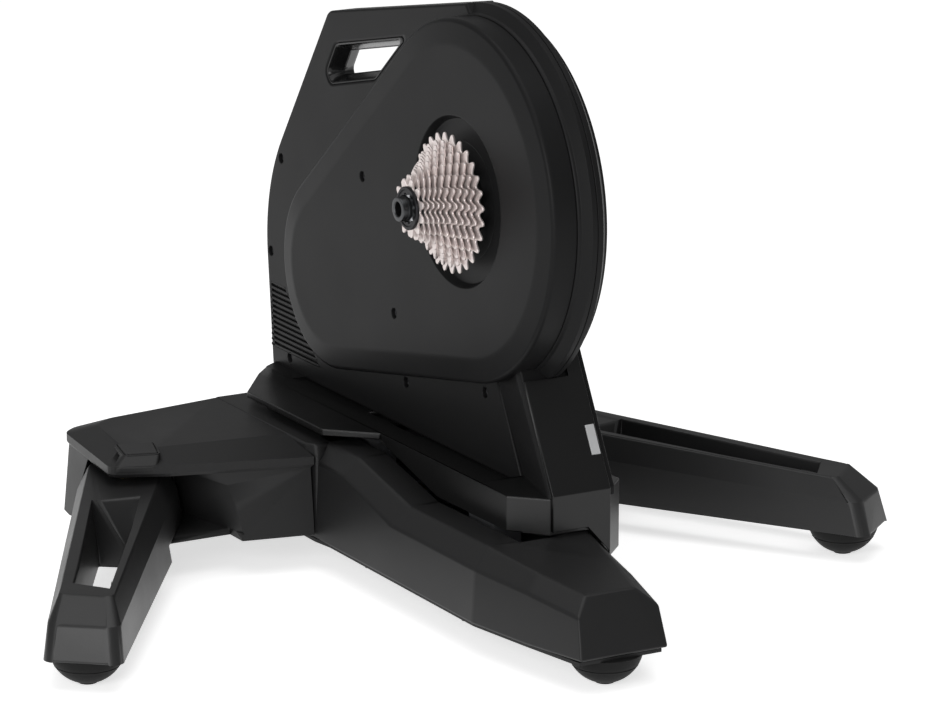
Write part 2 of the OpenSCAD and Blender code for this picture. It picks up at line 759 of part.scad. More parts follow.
// Half of the column that joins the body to the saddle's front, beside a
// cover of radius r. Its front corner stands out by flare and lies back by
// step, and by a little more with height.
module column_half(r, flare, step) {
    ring = function (z)
        let (f = front_at(z) - panel_t, back = body_toe - (z - saddle_top) * 0.6)
        at_z(z, [
            [seam_x, back], [plate_x, back],
            [seam_x + panel_half + flare, f - step - (z - saddle_top) * step / 70],
            [seam_x + panel_half, f], [seam_x, f],
        ]);
    difference() {
        loft([ring(saddle_top), ring(bend_z), ring(column_top)]);
        slab(plate_x, plate_x + cover_depth + panel_half) polygon(cover_loop(-0.8, r));
        cross_rod(axle_centre, rim_in + 3, seam_x - 1, plate_x - shell_wall + 1);
    }
}

// Rim of the drum on the drive side half, with the plate that closes it
// round a cover of radius r
module drum_rim(r) {
    translate([seam_x, 0, axle_z]) rotate([0, 90, 0]) rotate_extrude($fn = 180)
        polygon([
            [rim_in, 0], [drum_r, 0], [drum_r, band_half], [drum_r - rim_bevel, body_half - 3],
            [cover_r + 0.5, body_half], [rim_in, body_half],
        ]);
    if (r < cover_r)
        cross_ring(axle_centre, r - cover_ledge - 4, rim_in + 1, plate_x - shell_wall, plate_x);
}

// Screw bosses inside a shell half
module shell_bosses() {
    for (p = plate_screws) cross_rod(p, well_r + 2.4, seam_x, plate_x - 0.5);
}

// Drive side half of the body round a cover of radius r
module shell_half(r, flare, step) {
    difference() {
        union() {
            difference() {
                union() {
                    loft([
                        at_x(seam_x, body_outline), at_x(plate_x - 2.5, body_outline),
                        at_x(plate_x, inset(body_outline, 2.5)),
                    ]);
                    drum_rim(r);
                }
                slab(seam_x - 1, plate_x - shell_wall) polygon(inset(body_outline, shell_wall));
                block([seam_x - 1, body_heel + shell_wall + 1, body_floor - 1],
                    [plate_x - shell_wall, body_toe - 6, body_floor + shell_wall + 1]);
            }
            column_half(r, flare, step);
            shell_bosses();
        }
        // Opening behind the cover
        slab(seam_x - 1, plate_x + 1) polygon(cover_loop(cover_ledge, r));
        // Carry handle
        loft([handle_ring(seam_x - 1, 0), handle_ring(seam_x, 0), handle_ring(plate_x + 1, 0)]);
        // Vents and screws
        for (i = [0:vent_count - 1])
            block([plate_x - 1.5, -500, 137 + i * 4.9], [plate_x + 1, -300 - i * 5.6, 137 + vent_h + i * 4.9]);
        for (p = plate_screws) {
            cross_rod(p, well_r, plate_x - 5, plate_x + 5);
            cross_rod(p, 2, seam_x - 1, plate_x);
        }
    }
}

module right_shell() color([0.12, 0.12, 0.125]) place() shell_half(cover_r, 1, 3.5);

module left_shell() color([0.12, 0.12, 0.125]) place() {
    difference() {
        far_side() shell_half(far_cover_r, 7, 0.5);
        cross_rod(inlet_point, inlet_r, seam_x - 30, seam_x - 5);
    }
}

// Power inlet on the far side
inlet_point = [-370, 175];
inlet_r = 9;

module power_inlet() color([0.08, 0.08, 0.08]) place() {
    difference() {
        union() {
            cross_rod(inlet_point, inlet_r, seam_x - body_half - 0.5, seam_x - 3);
            cross_rod(inlet_point, inlet_r + 2, seam_x - body_half + shell_wall, seam_x - 6);
        }
        cross_rod(inlet_point, 2.75, seam_x - body_half - 2, seam_x - body_half + 9);
    }
}

// Sleeve through the carry handle, narrowest at the seam
module handle_liner() color([0.05, 0.05, 0.055]) place() {
    far_plate_x = seam_x - body_half;
    difference() {
        loft([
            handle_ring(far_plate_x + 0.5, liner_gap), handle_ring(seam_x, liner_gap),
            handle_ring(plate_x - 0.5, liner_gap),
        ]);
        loft([
            handle_ring(far_plate_x - 1, liner_t), handle_ring(seam_x, liner_t), handle_ring(plate_x + 1, liner_t),
        ]);
    }
}

// Cover shell of radius r without its openings
module cover_body(inner_face, r) {
    difference() {
        loft([
            at_x(plate_x, cover_loop(0, r)), at_x(cover_edge_x, cover_loop(0, r)),
            at_x(cover_face_x, cover_loop(face_bevel, r)),
        ]);
        difference() {
            loft([
                at_x(plate_x - 1, cover_loop(cover_wall, r)),
                at_x(cover_edge_x - cover_wall, cover_loop(cover_wall, r)),
                at_x(cover_face_x - cover_wall, cover_loop(cover_wall + face_bevel, r)),
            ]);
            cross_rod(axle_centre, recess_r + cover_wall, inner_face, cover_face_x);
        }
    }
}

module drive_cover() color([0.11, 0.11, 0.115]) place() {
    difference() {
        union() {
            cover_body(recess_x - cover_wall + 0.5, cover_r);
            for (p = cover_screw_points) cross_rod(p, 6.5, frame_x1 + 0.3, cover_face_x - 1);
        }
        translate([recess_x, 0, axle_z]) rotate([0, 90, 0])
            cylinder(r1 = recess_r - 3, r2 = recess_r, h = recess_depth + eps, $fn = 128);
        cross_rod(axle_centre, hub_tube_r + 2.5, -100, 100);
        for (p = cover_screw_points) {
            cross_rod(p, well_r, cover_face_x - 5, cover_face_x + 5);
            cross_rod(p, 2, -100, 100);
        }
    }
}

module left_cover() color([0.11, 0.11, 0.115]) place() {
    difference() {
        far_side() cover_body(cover_face_x, far_cover_r);
        cross_rod(axle_centre, 14.3, -120, -50);
    }
}

// Front panel that stands before the column, drawn in Y and Z
module front_panel() color([0.1, 0.1, 0.105]) place() {
    difference() {
        slab(seam_x - panel_half, seam_x + panel_half) polygon([
            [front_y - panel_t, 63], [front_y, 63], [front_y, bend_z], [front_at(column_top), column_top],
            [front_at(column_top) - panel_t, column_top], [front_y - panel_t, bend_z],
        ]);
        // Lower edge follows the beam's deck and its bevel
        translate([0, front_y + 10, 0]) rotate([90, 0, 0]) linear_extrude(40)
            polygon([
                [0, beam_deck_z + 6], [3 - beam_top_half, beam_deck_z + 6], [-beam_half - 2.5, beam_deck_z - 17],
                [-beam_half - 2.5, 50], [0, 50],
            ]);
        cross_rod(axle_centre, drum_r + 0.4, plate_x - 2 * body_half - 0.4, 100);
        status_cut(0.2, panel_t + 1);
    }
}

window_z = 167;
window_x = seam_x - panel_half + 1.3;

// Block of the status window, grown by g, d deep
module status_cut(g, d) {
    translate([window_x, front_at(window_z), window_z]) rotate([lean, 0, 0])
        translate([-g, -d, -window_h / 2 - g]) cube([window_w + 2 * g, d + 1, window_h + 2 * g]);
}

module status_window() color([0.8, 0.82, 0.84]) place() {
    intersection() {
        status_cut(0, panel_t - 0.8);
        slab(-100, 0) polygon([
            [front_at(130) - panel_t + 0.4, 130], [front_at(130), 130], [front_at(220), 220],
            [front_at(220) - panel_t + 0.4, 220],
        ]);
    }
}

// Axle and end caps
module fixed_axle() color([0.6, 0.61, 0.63]) place()
    cross_ring(axle_centre, thru_r + 0.4, axle_r, cap_left_x + 9, cap_right_x - 8.5);

module end_cap_right() color([0.45, 0.46, 0.48]) place()
    cross_ring(axle_centre, thru_r, cap_r, cap_right_x - 8.5, cap_right_x);

module end_cap_left() color([0.45, 0.46, 0.48]) place()
    cross_ring(axle_centre, thru_r, 14, cap_left_x, cap_left_x + 9);

// Belt drive
module drive_belt() color([0.06, 0.06, 0.06]) place() {
    slab(pulley_x0, pulley_x1) difference() {
        polygon(loop_points(axle_centre, pulley_r + belt_seat + belt_t, fly_centre,
            pinion_r + belt_seat + belt_t, 90, 30));
        polygon(loop_points(axle_centre, pulley_r + belt_seat, fly_centre, pinion_r + belt_seat, 90, 30));
    }
}

module drive_pulley() color([0.45, 0.46, 0.48]) place() {
    difference() {
        union() {
            cross_ring(axle_centre, pulley_r - 8, pulley_r, pulley_x0, pulley_x1);
            cross_ring(axle_centre, bearing_r, pulley_r - 6, pulley_x0 + 5, pulley_x0 + 9);
            cross_ring(axle_centre, bearing_r, hub_tube_r - 1, pulley_x0, recess_x - 3);
        }
        for (i = [0:5])
            cross_rod(axle_centre + 82 * [cos(60 * i), sin(60 * i)], 30, -100, 100);
    }
}

module pulley_bearings() color([0.7, 0.71, 0.73]) place()
    cross_ring(axle_centre, axle_r + run_gap, bearing_r, pulley_x0, recess_x - 4);

module ratchet_ring() color([0.5, 0.5, 0.52]) place()
    cross_ring(axle_centre, freehub_r + 3.2, hub_tube_r, recess_x - 3, recess_x + 6);

module drive_pinion() color([0.6, 0.61, 0.63]) place()
    cross_ring(fly_centre, axle_r, pinion_r, pulley_x0, pulley_x1);

module flywheel_shaft() color([0.6, 0.61, 0.63]) place()
    cross_rod(fly_centre, axle_r, fly_x0 + 0.5, pulley_x1 + 1);

module flywheel_bearings() color([0.7, 0.71, 0.73]) place() {
    cross_ring(fly_centre, axle_r + run_gap, big_bearing_r, frame_x1 - 10, frame_x1);
    cross_ring(fly_centre, axle_r + run_gap, big_bearing_r, fly_x0 + 9, fly_x0 + 19);
}

module flywheel() color([0.4, 0.41, 0.42]) place() {
    cross_ring(fly_centre, fly_r - 16, fly_r, fly_x0, fly_x1);
    cross_ring(fly_centre, axle_r, fly_r - 15, fly_x0, fly_x0 + 6);
}

magnet_count = 16;

module flywheel_magnets() color([0.3, 0.3, 0.32]) place() {
    difference() {
        cross_ring(fly_centre, fly_r - 22, fly_r - 16, fly_x0 + 6, fly_x1 - 2);
        for (i = [0:magnet_count - 1])
            translate([0, fly_centre.x, fly_centre.y]) rotate([360 * i / magnet_count, 0, 0])
                block([-100, 40, -1.5], [100, 70, 1.5]);
    }
}

slot_count = 12;
tooth_out_r = fly_r - 24;

module stator_core() color([0.35, 0.36, 0.38]) place() {
    slab(fly_x0 + 10, fly_x1 - 3) difference() {
        union() {
            translate(fly_centre) circle(r = hub_tube_r + 7);
            translate(fly_centre) difference() {
                circle(r = tooth_out_r);
                circle(r = tooth_out_r - 3);
            }
            for (i = [0:slot_count - 1])
                translate(fly_centre) rotate(360 * i / slot_count) translate([hub_tube_r + 3, -3])
                    square([tooth_out_r - hub_tube_r - 4, 6]);
        }
        translate(fly_centre) circle(r = hub_tube_r);
        for (i = [0:slot_count - 1])
            translate(fly_centre) rotate(360 * (i + 0.5) / slot_count) translate([tooth_out_r - 4, -1])
                square([6, 2]);
    }
}

module stator_coils() color([0.72, 0.42, 0.2]) place() {
    for (i = [0:slot_count - 1])
        translate([0, fly_centre.x, fly_centre.y]) rotate([360 * i / slot_count, 0, 0]) difference() {
            block([fly_x0 + 8.5, hub_tube_r + 10, -5.6], [fly_x1 - 1.5, tooth_out_r - 4.2, 5.6]);
            block([fly_x0 + 9.9, 0, -3.1], [fly_x1 - 2.9, 100, 3.1]);
        }
}

module control_board() color([0.1, 0.35, 0.18]) place() {
    block([seam_x - 8, -118, 138], [seam_x - 6.4, -14, 186]);
    block([seam_x - 9.5, -100, 150], [seam_x - 8, -80, 170]);
    block([seam_x - 9.5, -60, 146], [seam_x - 8, -46, 160]);
    for (p = [[-112, 143], [-22, 143], [-66, 180], [-40, 180]]) cross_rod(p, 3, seam_x - 6.4, seam_x);
}

// Freehub and cassette
module freehub_body() color([0.3, 0.3, 0.32]) place() {
    cross_ring(axle_centre, 13, freehub_r, recess_x + 1, cap_right_x - 11);
    cross_ring(axle_centre, 13, freehub_r + 3, recess_x - 2, recess_x + 5);
}

module freehub_bearings() color([0.7, 0.71, 0.73]) place() {
    cross_ring(axle_centre, axle_r + run_gap, 13, recess_x, recess_x + 8);
    cross_ring(axle_centre, axle_r + run_gap, 13, cap_right_x - 20, cap_right_x - 12);
}

teeth = [28, 25, 23, 21, 19, 17, 15, 14, 13, 12, 11];

// Radius of a sprocket's tooth tips, and of the bottoms between them
function tip_r(n) = chain_pitch * (0.6 + 1 / tan(180 / n)) / 2;
function root_r(n) = chain_pitch / (2 * sin(180 / n)) - 3.95;

// Outline of a sprocket with n teeth
function sprocket_outline(n) = [
    for (i = [0:n - 1], k = [0:4])
        let (share = [0, 0.14, 0.38, 0.62, 0.86][k], tip = k == 2 || k == 3)
        let (a = 360 * (i + share) / n, r = tip ? tip_r(n) : k == 0 ? root_r(n) : root_r(n) + 1.1)
        r * [cos(a), sin(a)]
];

// Sprocket number i, counted from the largest
module sprocket(i) {
    n = teeth[i];
    x = seam_x + sprocket_x + i * sprocket_pitch;
    slab(x - sprocket_t / 2, x + sprocket_t / 2) translate(axle_centre) difference() {
        polygon(sprocket_outline(n));
        circle(r = freehub_r);
    }
}

module sprockets_large() color([0.74, 0.68, 0.66]) place() {
    for (i = [0:3]) sprocket(i);
}

module sprockets_middle() color([0.74, 0.68, 0.66]) place() {
    for (i = [4:7]) sprocket(i);
}

module sprockets_small() color([0.74, 0.68, 0.66]) place() {
    for (i = [8:10]) sprocket(i);
}

module sprocket_spacers() color([0.12, 0.12, 0.12]) place() {
    for (i = [0:9]) {
        x = seam_x + sprocket_x + i * sprocket_pitch + sprocket_t / 2;
        cross_ring(axle_centre, freehub_r, freehub_r + 2.5, x, x + sprocket_pitch - sprocket_t);
    }
}

module lock_ring() color([0.1, 0.1, 0.1]) place() {
    x = seam_x + sprocket_x + 10 * sprocket_pitch + sprocket_t / 2;
    cross_ring(axle_centre, cap_r + 1, lock_r, x, x + 2.6);
    cross_ring(axle_centre, cap_r + 1, 13, cap_right_x - 11, x);
}

module shell_screws() color([0.25, 0.25, 0.26]) place() {
    for (p = plate_screws) {
        cross_rod(p, 3.6, plate_x - 5, plate_x - 3);
        cross_rod(p, 1.98, seam_x - body_half + 6, plate_x - 5);
    }
}

module cover_screws() color([0.25, 0.25, 0.26]) place() {
    for (p = cover_screw_points) {
        cross_rod(p, 3.6, cover_face_x - 5, cover_face_x - 3);
        cross_rod(p, 1.98, frame_x1 + 0.5, cover_face_x - 5);
    }
}

base_beam();
base_pan();
wing_right();
wing_left();
hinge_pins();
guide_rails();
rail_blocks();
rail_buffers();
front_foot();
rear_feet();
latch_spring_right();
latch_spring_left();
pan_screws();
leg_right();
leg_left();
leg_foot_right();
leg_foot_left();
hinge_bush_right();
hinge_bush_left();
latch_right();
latch_left();
saddle();
slide_blocks();
slide_bushes();
main_frame();
right_shell();
left_shell();
drive_cover();
left_cover();
handle_liner();
front_panel();
status_window();
fixed_axle();
end_cap_right();
end_cap_left();
drive_belt();
stator_core();
stator_coils();
flywheel_bearings();
control_board();
power_inlet();
shell_screws();
cover_screws();
drive_pulley();
pulley_bearings();
ratchet_ring();
freehub_body();
freehub_bearings();
sprockets_large();
sprockets_middle();
sprockets_small();
sprocket_spacers();
lock_ring();
flywheel();
flywheel_magnets();
flywheel_shaft();
drive_pinion();
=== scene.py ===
"""Looks of a smart bike trainer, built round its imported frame.

Places in millimetres have x from the base's middle, y from the wheel axle
and z from the floor. spot() turns them into metres in the frame.
"""

import json
import math

import bmesh
import bpy
from bpy.props import FloatProperty, FloatVectorProperty, PointerProperty
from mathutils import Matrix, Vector


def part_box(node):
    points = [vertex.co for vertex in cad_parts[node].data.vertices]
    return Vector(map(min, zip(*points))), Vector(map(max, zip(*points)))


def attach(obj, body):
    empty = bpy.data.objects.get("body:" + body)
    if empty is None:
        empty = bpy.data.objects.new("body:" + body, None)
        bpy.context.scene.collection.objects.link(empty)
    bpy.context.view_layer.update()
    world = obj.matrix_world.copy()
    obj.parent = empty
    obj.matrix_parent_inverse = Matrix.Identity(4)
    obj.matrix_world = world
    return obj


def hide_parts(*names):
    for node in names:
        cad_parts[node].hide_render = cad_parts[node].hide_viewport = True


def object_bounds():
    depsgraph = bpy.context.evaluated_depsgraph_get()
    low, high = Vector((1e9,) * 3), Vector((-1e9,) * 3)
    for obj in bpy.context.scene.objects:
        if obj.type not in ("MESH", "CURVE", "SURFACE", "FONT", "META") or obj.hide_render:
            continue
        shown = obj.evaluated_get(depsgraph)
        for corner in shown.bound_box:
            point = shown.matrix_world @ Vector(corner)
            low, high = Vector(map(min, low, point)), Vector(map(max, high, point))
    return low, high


bl_info = {
    "name": "Smart bike trainer",
    "version": (1, 0, 0),
    "blender": (4, 5, 0),
    "location": "3D View > Sidebar > Trainer",
    "description": "Builds the shells, legs, cassette and finishes of a smart bike trainer",
    "category": "Add Mesh",
}

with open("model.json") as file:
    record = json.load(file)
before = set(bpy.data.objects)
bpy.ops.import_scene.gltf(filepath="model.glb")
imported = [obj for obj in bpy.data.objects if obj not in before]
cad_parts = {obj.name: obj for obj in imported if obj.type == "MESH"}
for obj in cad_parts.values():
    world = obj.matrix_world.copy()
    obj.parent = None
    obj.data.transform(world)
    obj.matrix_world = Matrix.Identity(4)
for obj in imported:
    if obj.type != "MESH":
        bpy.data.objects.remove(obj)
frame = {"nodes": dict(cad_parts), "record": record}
cad_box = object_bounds()

MM = 0.001


def middle(node):
    """Centre of a node's box, in metres."""
    low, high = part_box(node)
    return (low + high) / 2


# Places that the frame gives, in metres
AXLE = middle("end_cap_right")
FLY = middle("flywheel_shaft")
COVER_LOW, COVER_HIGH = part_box("drive_cover")
LINER_LOW, LINER_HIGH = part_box("handle_liner")

# The same places in millimetres, with y from the axle
AXLE_Z = AXLE.z / MM
FLY_Y = (FLY.y - AXLE.y) / MM
FLY_Z = FLY.z / MM
SEAM_X = (LINER_LOW.x + LINER_HIGH.x) / 2 / MM
PLATE_X = LINER_HIGH.x / MM + 0.5
COVER_FACE_X = COVER_HIGH.x / MM
COVER_R = (COVER_HIGH.y - AXLE.y) / MM
BOSS_R = FLY_Y - (COVER_LOW.y - AXLE.y) / MM
DRUM_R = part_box("right_shell")[1].z / MM - AXLE_Z
AXLE_POINT = Vector((0, AXLE_Z))
FLY_POINT = Vector((FLY_Y, FLY_Z))


def spot(x, y, z):
    """Point in metres for a place in millimetres."""
    return Vector((x * MM, AXLE.y + y * MM, z * MM))


# Main places and sizes of the body, in millimetres
BODY_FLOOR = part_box("right_shell")[0].z / MM
HEEL_Y = -394.5
TOE_Y = 66
PLATE_IN_RIM = COVER_R + 0.5
CORE_TOE = (23.0, 199.4, 0)
SLOPE_END = (-32, AXLE_Z + 161.9, 0)
TOP_CORNER = (-280.8, 466.7, 15)
REAR_CORNER = (-409.7, 282, 168)
PLATE_SCREWS = ((-373.6, 315), (-395.5, 224), (-359.5, 131), (-138, 160), (2, 184))
COVER_SCREWS = ((-169, 341.6), (-112, 231.4))
PLATE_WELL = 4.6
COVER_WELL = 4.4
PLATE_SCREW_SINK = 3
COVER_SCREW_SINK = 2.8
SCREW_R = 3.9
AXLE_BORE_R = 6.1
FOOT_R = 31.8

# Corners of the carry handle's opening, as (y, z, radius, share of an inset that the radius loses)
HANDLE = (
    (-277, 399.5, 10, 1), (-193, 419, 14, 1), (-131, 471, 3, 0.2), (-268, 441, 14, 1), (-288, 411, 10, 1)
)
HANDLE_TAPER = 6.4

# Half width of the body, the far cover, and the leaning front with its panel
PLATE_HALF = PLATE_X - SEAM_X
FAR_COVER_R = (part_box("left_cover")[1].y - AXLE.y) / MM
FRONT_Y = (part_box("front_panel")[1].y - AXLE.y) / MM
BEND_Z = 129
LEAN = math.tan(math.radians(28.4))
PANEL_HALF = 28
PANEL_T = 4
COLUMN_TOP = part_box("front_panel")[1].z / MM
SADDLE_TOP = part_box("saddle")[1].z / MM

# Sprockets, counted from the largest. Those with more than WEB_TEETH teeth stand on arms
TEETH = (28, 25, 23, 21, 19, 17, 15, 14, 13, 12, 11)
CHAIN_PITCH = 12.7
FREEHUB_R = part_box("freehub_bearings")[1].z / MM - AXLE_Z + 4
SPROCKET_T = 1.8
FIRST_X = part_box("sprockets_large")[0].x / MM + SPROCKET_T / 2
LAST_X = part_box("sprockets_small")[1].x / MM - SPROCKET_T / 2
SPROCKET_PITCH = (LAST_X - FIRST_X) / (len(TEETH) - 1)
WEB_TEETH = 18
WEB_DEPTH = 9
ARMS = 6

# Lock ring, and where the corners of one of its splines lie in a share of the ring
LOCK_NOTCHES = 12
LOCK_BORE_R = 12.0
LOCK_DEPTH = 12
LOCK_SHARES = (0, 0.28, 0.3, 0.7, 0.72, 1)

# Sides by name, with the way that each one faces along x
SIDES = (("right", 1), ("left", -1))

# Vent field in each body plate
VENT_COUNT = 12
VENT_STEP = 4.9
VENT_LOW = 134.8
VENT_FRONT = -300
VENT_SLANT = 5.6
VENT_REAR = -390
VENT_DEPTH = 2.2

# Base: half width of the hub, deck of the hub and the wings, then the beam's lowest point, front and deck
HUB_HALF = 66
DECK_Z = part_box("base_beam")[1].z / MM
BEAM_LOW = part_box("base_beam")[0].z / MM
BEAM_FRONT = (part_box("base_beam")[1].y - AXLE.y) / MM
BEAM_DECK = 92
BEAM_WALL = 4

# Pin that the right leg turns about, in metres
HINGE = middle("hinge_bush_right")

# Filler of the saddle's dished top: its rear end with its slant, its front end and its heights
SADDLE_DISH_FROM = -397
SADDLE_DISH_SLANT = 21
SADDLE_DISH_TO = -326
SADDLE_DISH_Z = (114.5, 117.2, 121.1)

# Roundings of slim pieces, in metres
NOSE_RADIUS = 0.0007
PANEL_RADIUS = 0.0007
WINDOW_RADIUS = 0.0004
COLUMN_RADIUS = 0.0022

# Plans of a wing at its foot, its rim and its deck, as (x, y, corner radius)
WING_FOOT = (
    (HUB_HALF, -338, 0), (206, -330, 14), (224, -322, 10), (228, -300, 10), (190, -166, 8),
    (HUB_HALF, -141, 0),
)
WING_BELT = (
    (HUB_HALF, -341, 0), (206, -332, 25), (222, -319, 18), (236, -198, 10), (187, -176, 8),
    (HUB_HALF, -141, 0),
)
WING_DECK = (
    (HUB_HALF, -331, 0), (180, -316, 20), (198.5, -303, 16), (210, -224, 8), (181, -210, 6),
    (HUB_HALF, -194, 0),
)
WING_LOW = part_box("wing_right")[0].z / MM
WING_RIM = 94

# Plans of the catch's tab, as (x, y), and of the raised nose round it
TAB_PLAN = ((182, -224), (211.6, -233), (219, -201), (192, -193))
NOSE_FOOT = ((178, -226, 5), (212, -238, 6), (234, -196, 6), (197, -180, 5))

# Sections of the beam from the hub to its front: deck edge, bevel edge and foot, each (half width, y, z).
# A foot's z is its rise over the beam's lowest point
BEAM = (
    ((47, -172, DECK_Z), (62, -172, DECK_Z - 14), (65, -172, 0)),
    ((47, -95, DECK_Z), (62, -95, DECK_Z - 14), (65, -95, 0)),
    ((47, -2, BEAM_DECK), (62, -10, BEAM_DECK - 16), (65, -10, 0)),
    ((47, 133, BEAM_DECK + 1), (62, 137, BEAM_DECK - 16), (65, 137, 0)),
    ((36, 196, BEAM_DECK - 6.4), (50, 205, BEAM_DECK - 20), (54, 205, 0)),
    (
        (23, BEAM_FRONT - 24.5, BEAM_DECK - 12.9), (38, BEAM_FRONT - 9.6, BEAM_DECK - 26.3),
        (41.4, BEAM_FRONT, 2.3),
    ),
)

# Camera at the photograph's angle: its place, two angles in degrees, lens and sensor in millimetres
CAMERA_PLACE = (2004.53, 3574.26, 1307.87)
CAMERA_AZIMUTH = 150.67
CAMERA_ELEVATION = 14.882
CAMERA_LENS = 194.38
CAMERA_SENSOR = 36

# Stage in metres, with its lamps as (name, place, size, watts), and the strengths of its other light
STAGE_CENTRE = (0, 0, 0.25)
LAMPS = (
    ("top_lamp", (0.3, 0.2, 3.2), (3.2, 3.2), 48),
    ("front_lamp", (2.9, 2.5, 1.4), (2.2, 2.0), 66),
)
FLOOR_HALF = 30
WORLD_LIGHT = 0.26
FLOOR_GLOW = 0.65


class TrainerSizes(bpy.types.PropertyGroup):
    """Sizes of the visible detail, in metres."""

    edge_radius: FloatProperty(
        name="Edge radius", description="Rounding of the moulded edges", default=0.0025, unit="LENGTH"
    )
    fine_radius: FloatProperty(
        name="Fine radius", description="Rounding of small edges", default=0.0008, unit="LENGTH"
    )
    cover_fillet: FloatProperty(
        name="Cover fillet", description="Rounding of the covers' outer edge", default=0.004, unit="LENGTH"
    )
    face_bevel: FloatProperty(
        name="Face bevel", description="Width of the covers' shallow bevel", default=0.022, unit="LENGTH"
    )
    face_rise: FloatProperty(
        name="Face rise", description="Height of the covers' shallow bevel", default=0.003, unit="LENGTH"
    )
    recess_radius: FloatProperty(
        name="Recess radius", description="Radius of the recess round the cassette", default=0.073,
        unit="LENGTH",
    )
    recess_depth: FloatProperty(
        name="Recess depth", description="Depth of the recess round the cassette", default=0.007,
        unit="LENGTH",
    )
    well_radius: FloatProperty(
        name="Screw well radius", description="Radius of the wells that hold the screws", default=0.0046,
        unit="LENGTH",
    )
    tooth_chamfer: FloatProperty(
        name="Tooth chamfer", description="Chamfer along the sprocket teeth", default=0.0004, unit="LENGTH"
    )


class TrainerColours(bpy.types.PropertyGroup):
    """Colours of the finishes."""

    shell: FloatVectorProperty(
        name="Shell", description="Colour of the moulded shells", subtype="COLOR",
        default=(0.012, 0.012, 0.0123),
    )
    base: FloatVectorProperty(
        name="Base", description="Colour of the base and legs", subtype="COLOR",
        default=(0.016, 0.016, 0.0163),
    )
    nickel: FloatVectorProperty(
        name="Nickel", description="Colour of the sprockets", subtype="COLOR", default=(0.74, 0.665, 0.645)
    )
    rubber: FloatVectorProperty(
        name="Rubber", description="Colour of the feet", subtype="COLOR", default=(0.009, 0.009, 0.009)
    )
    window: FloatVectorProperty(
        name="Window", description="Colour of the status window", subtype="COLOR",
        default=(0.52, 0.524, 0.53),
    )
    floor: FloatVectorProperty(
        name="Floor", description="Colour of the floor", subtype="COLOR", default=(0.9, 0.9, 0.9)
    )


def sizes():
    """Sizes that the panel shows."""
    return bpy.context.scene.trainer_sizes


def colours():
    """Colours that the panel shows."""
    return bpy.context.scene.trainer_colours


class Nodes:
    """A node tree whose nodes are added one by one."""

    def node(self, kind, links=None, **values):
        """Adds a node with its properties, and links or sets its inputs."""
        made = self.tree.nodes.new(kind)
        for name, value in values.items():
            setattr(made, name, value)
        for name, source in (links or {}).items():
            if isinstance(source, bpy.types.NodeSocket):
                self.tree.links.new(source, made.inputs[name])
            else:
                made.inputs[name].default_value = source
        return made


class Finish(Nodes):
    """A material on Object coordinates."""

    def __init__(self, name):
        self.material = bpy.data.materials.new(name)
        self.material.use_nodes = True
        self.tree = self.material.node_tree
        self.shader = self.tree.nodes["Principled BSDF"]
        self.coords = self.tree.nodes.new("ShaderNodeTexCoord").outputs["Object"]

    def set(self, **values):
        """Sets the shader's own sockets. An underscore stands for a space."""
        for name, value in values.items():
            self.shader.inputs[name.replace("_", " ")].default_value = value
        return self

    def noise(self, scale, detail=3.0, roughness=0.55, coords=None):
        """Value of a noise with so many cells to a metre."""
        links = {"Vector": coords or self.coords, "Scale": scale, "Detail": detail, "Roughness": roughness}
        return self.node("ShaderNodeTexNoise", links).outputs["Fac"]

    def span(self, value, low, high, start=0.0, end=1.0):
        """Value mapped from start..end to low..high."""
        links = {"Value": value, "From Min": start, "From Max": end, "To Min": low, "To Max": high}
        return self.node("ShaderNodeMapRange", links).outputs["Result"]

    def mix(self, factor, first, second):
        """Colour between two colours."""
        made = self.node("ShaderNodeMix", {"Factor": factor}, data_type="RGBA")
        for socket, value in ((6, first), (7, second)):
            if isinstance(value, bpy.types.NodeSocket):
                self.tree.links.new(value, made.inputs[socket])
            else:
                made.inputs[socket].default_value = (*value, 1)
        return made.outputs[2]

    def link(self, name, source):
        """Links a value to one of the shader's sockets."""
        self.tree.links.new(source, self.shader.inputs[name])
        return self

    def bump(self, *layers):
        """Stacks bumps, each a height and its depth in metres."""
        normal = None
        for height, depth in layers:
            links = {"Height": height, "Distance": depth, "Strength": 1.0}
            if normal:
                links["Normal"] = normal
            normal = self.node("ShaderNodeBump", links).outputs["Normal"]
        return self.link("Normal", normal)


def shade(colour, factor):
    """A colour made lighter or darker."""
    return tuple(min(1.0, c * factor) for c in colour)


def moulded(name, colour, roughness, grain=1100, depth=0.00004, gloss=0.27):
    """Moulded plastic with a fine grain, and gloss that varies a little."""
    made = Finish(name).set(Specular_IOR_Level=gloss)
    fine = made.noise(grain, 2.0)
    cloud = made.noise(9, 4.0)
    made.link("Base Color", made.mix(cloud, shade(colour, 0.85), shade(colour, 1.18)))
    made.link("Roughness", made.span(cloud, roughness - 0.035, roughness + 0.035, 0.3, 0.7))
    made.bump((made.noise(14, 2.0), depth * 2), (fine, depth))
    return made.material


def painted(name, colour, roughness):
    """Powder coat with a soft orange peel."""
    made = Finish(name).set(Specular_IOR_Level=0.4)
    peel = made.noise(420, 1.5)
    speck = made.noise(1500, 2.0)
    made.link("Base Color", made.mix(speck, shade(colour, 0.85), shade(colour, 1.2)))
    made.link("Roughness", made.span(made.noise(12, 3.0), roughness - 0.03, roughness + 0.04, 0.3, 0.7))
    made.bump((peel, 0.00005), (speck, 0.00002))
    return made.material


def rubber(name, colour):
    """Moulded rubber, matt with a dusty sheen."""
    made = Finish(name).set(Specular_IOR_Level=0.12, Sheen_Weight=0.03, Sheen_Roughness=0.6)
    speck = made.noise(900, 3.0)
    made.link("Base Color", made.mix(made.noise(30, 4.0), shade(colour, 0.8), shade(colour, 1.5)))
    made.link("Roughness", made.span(speck, 0.55, 0.72, 0.3, 0.7))
    made.bump((speck, 0.00005))
    return made.material


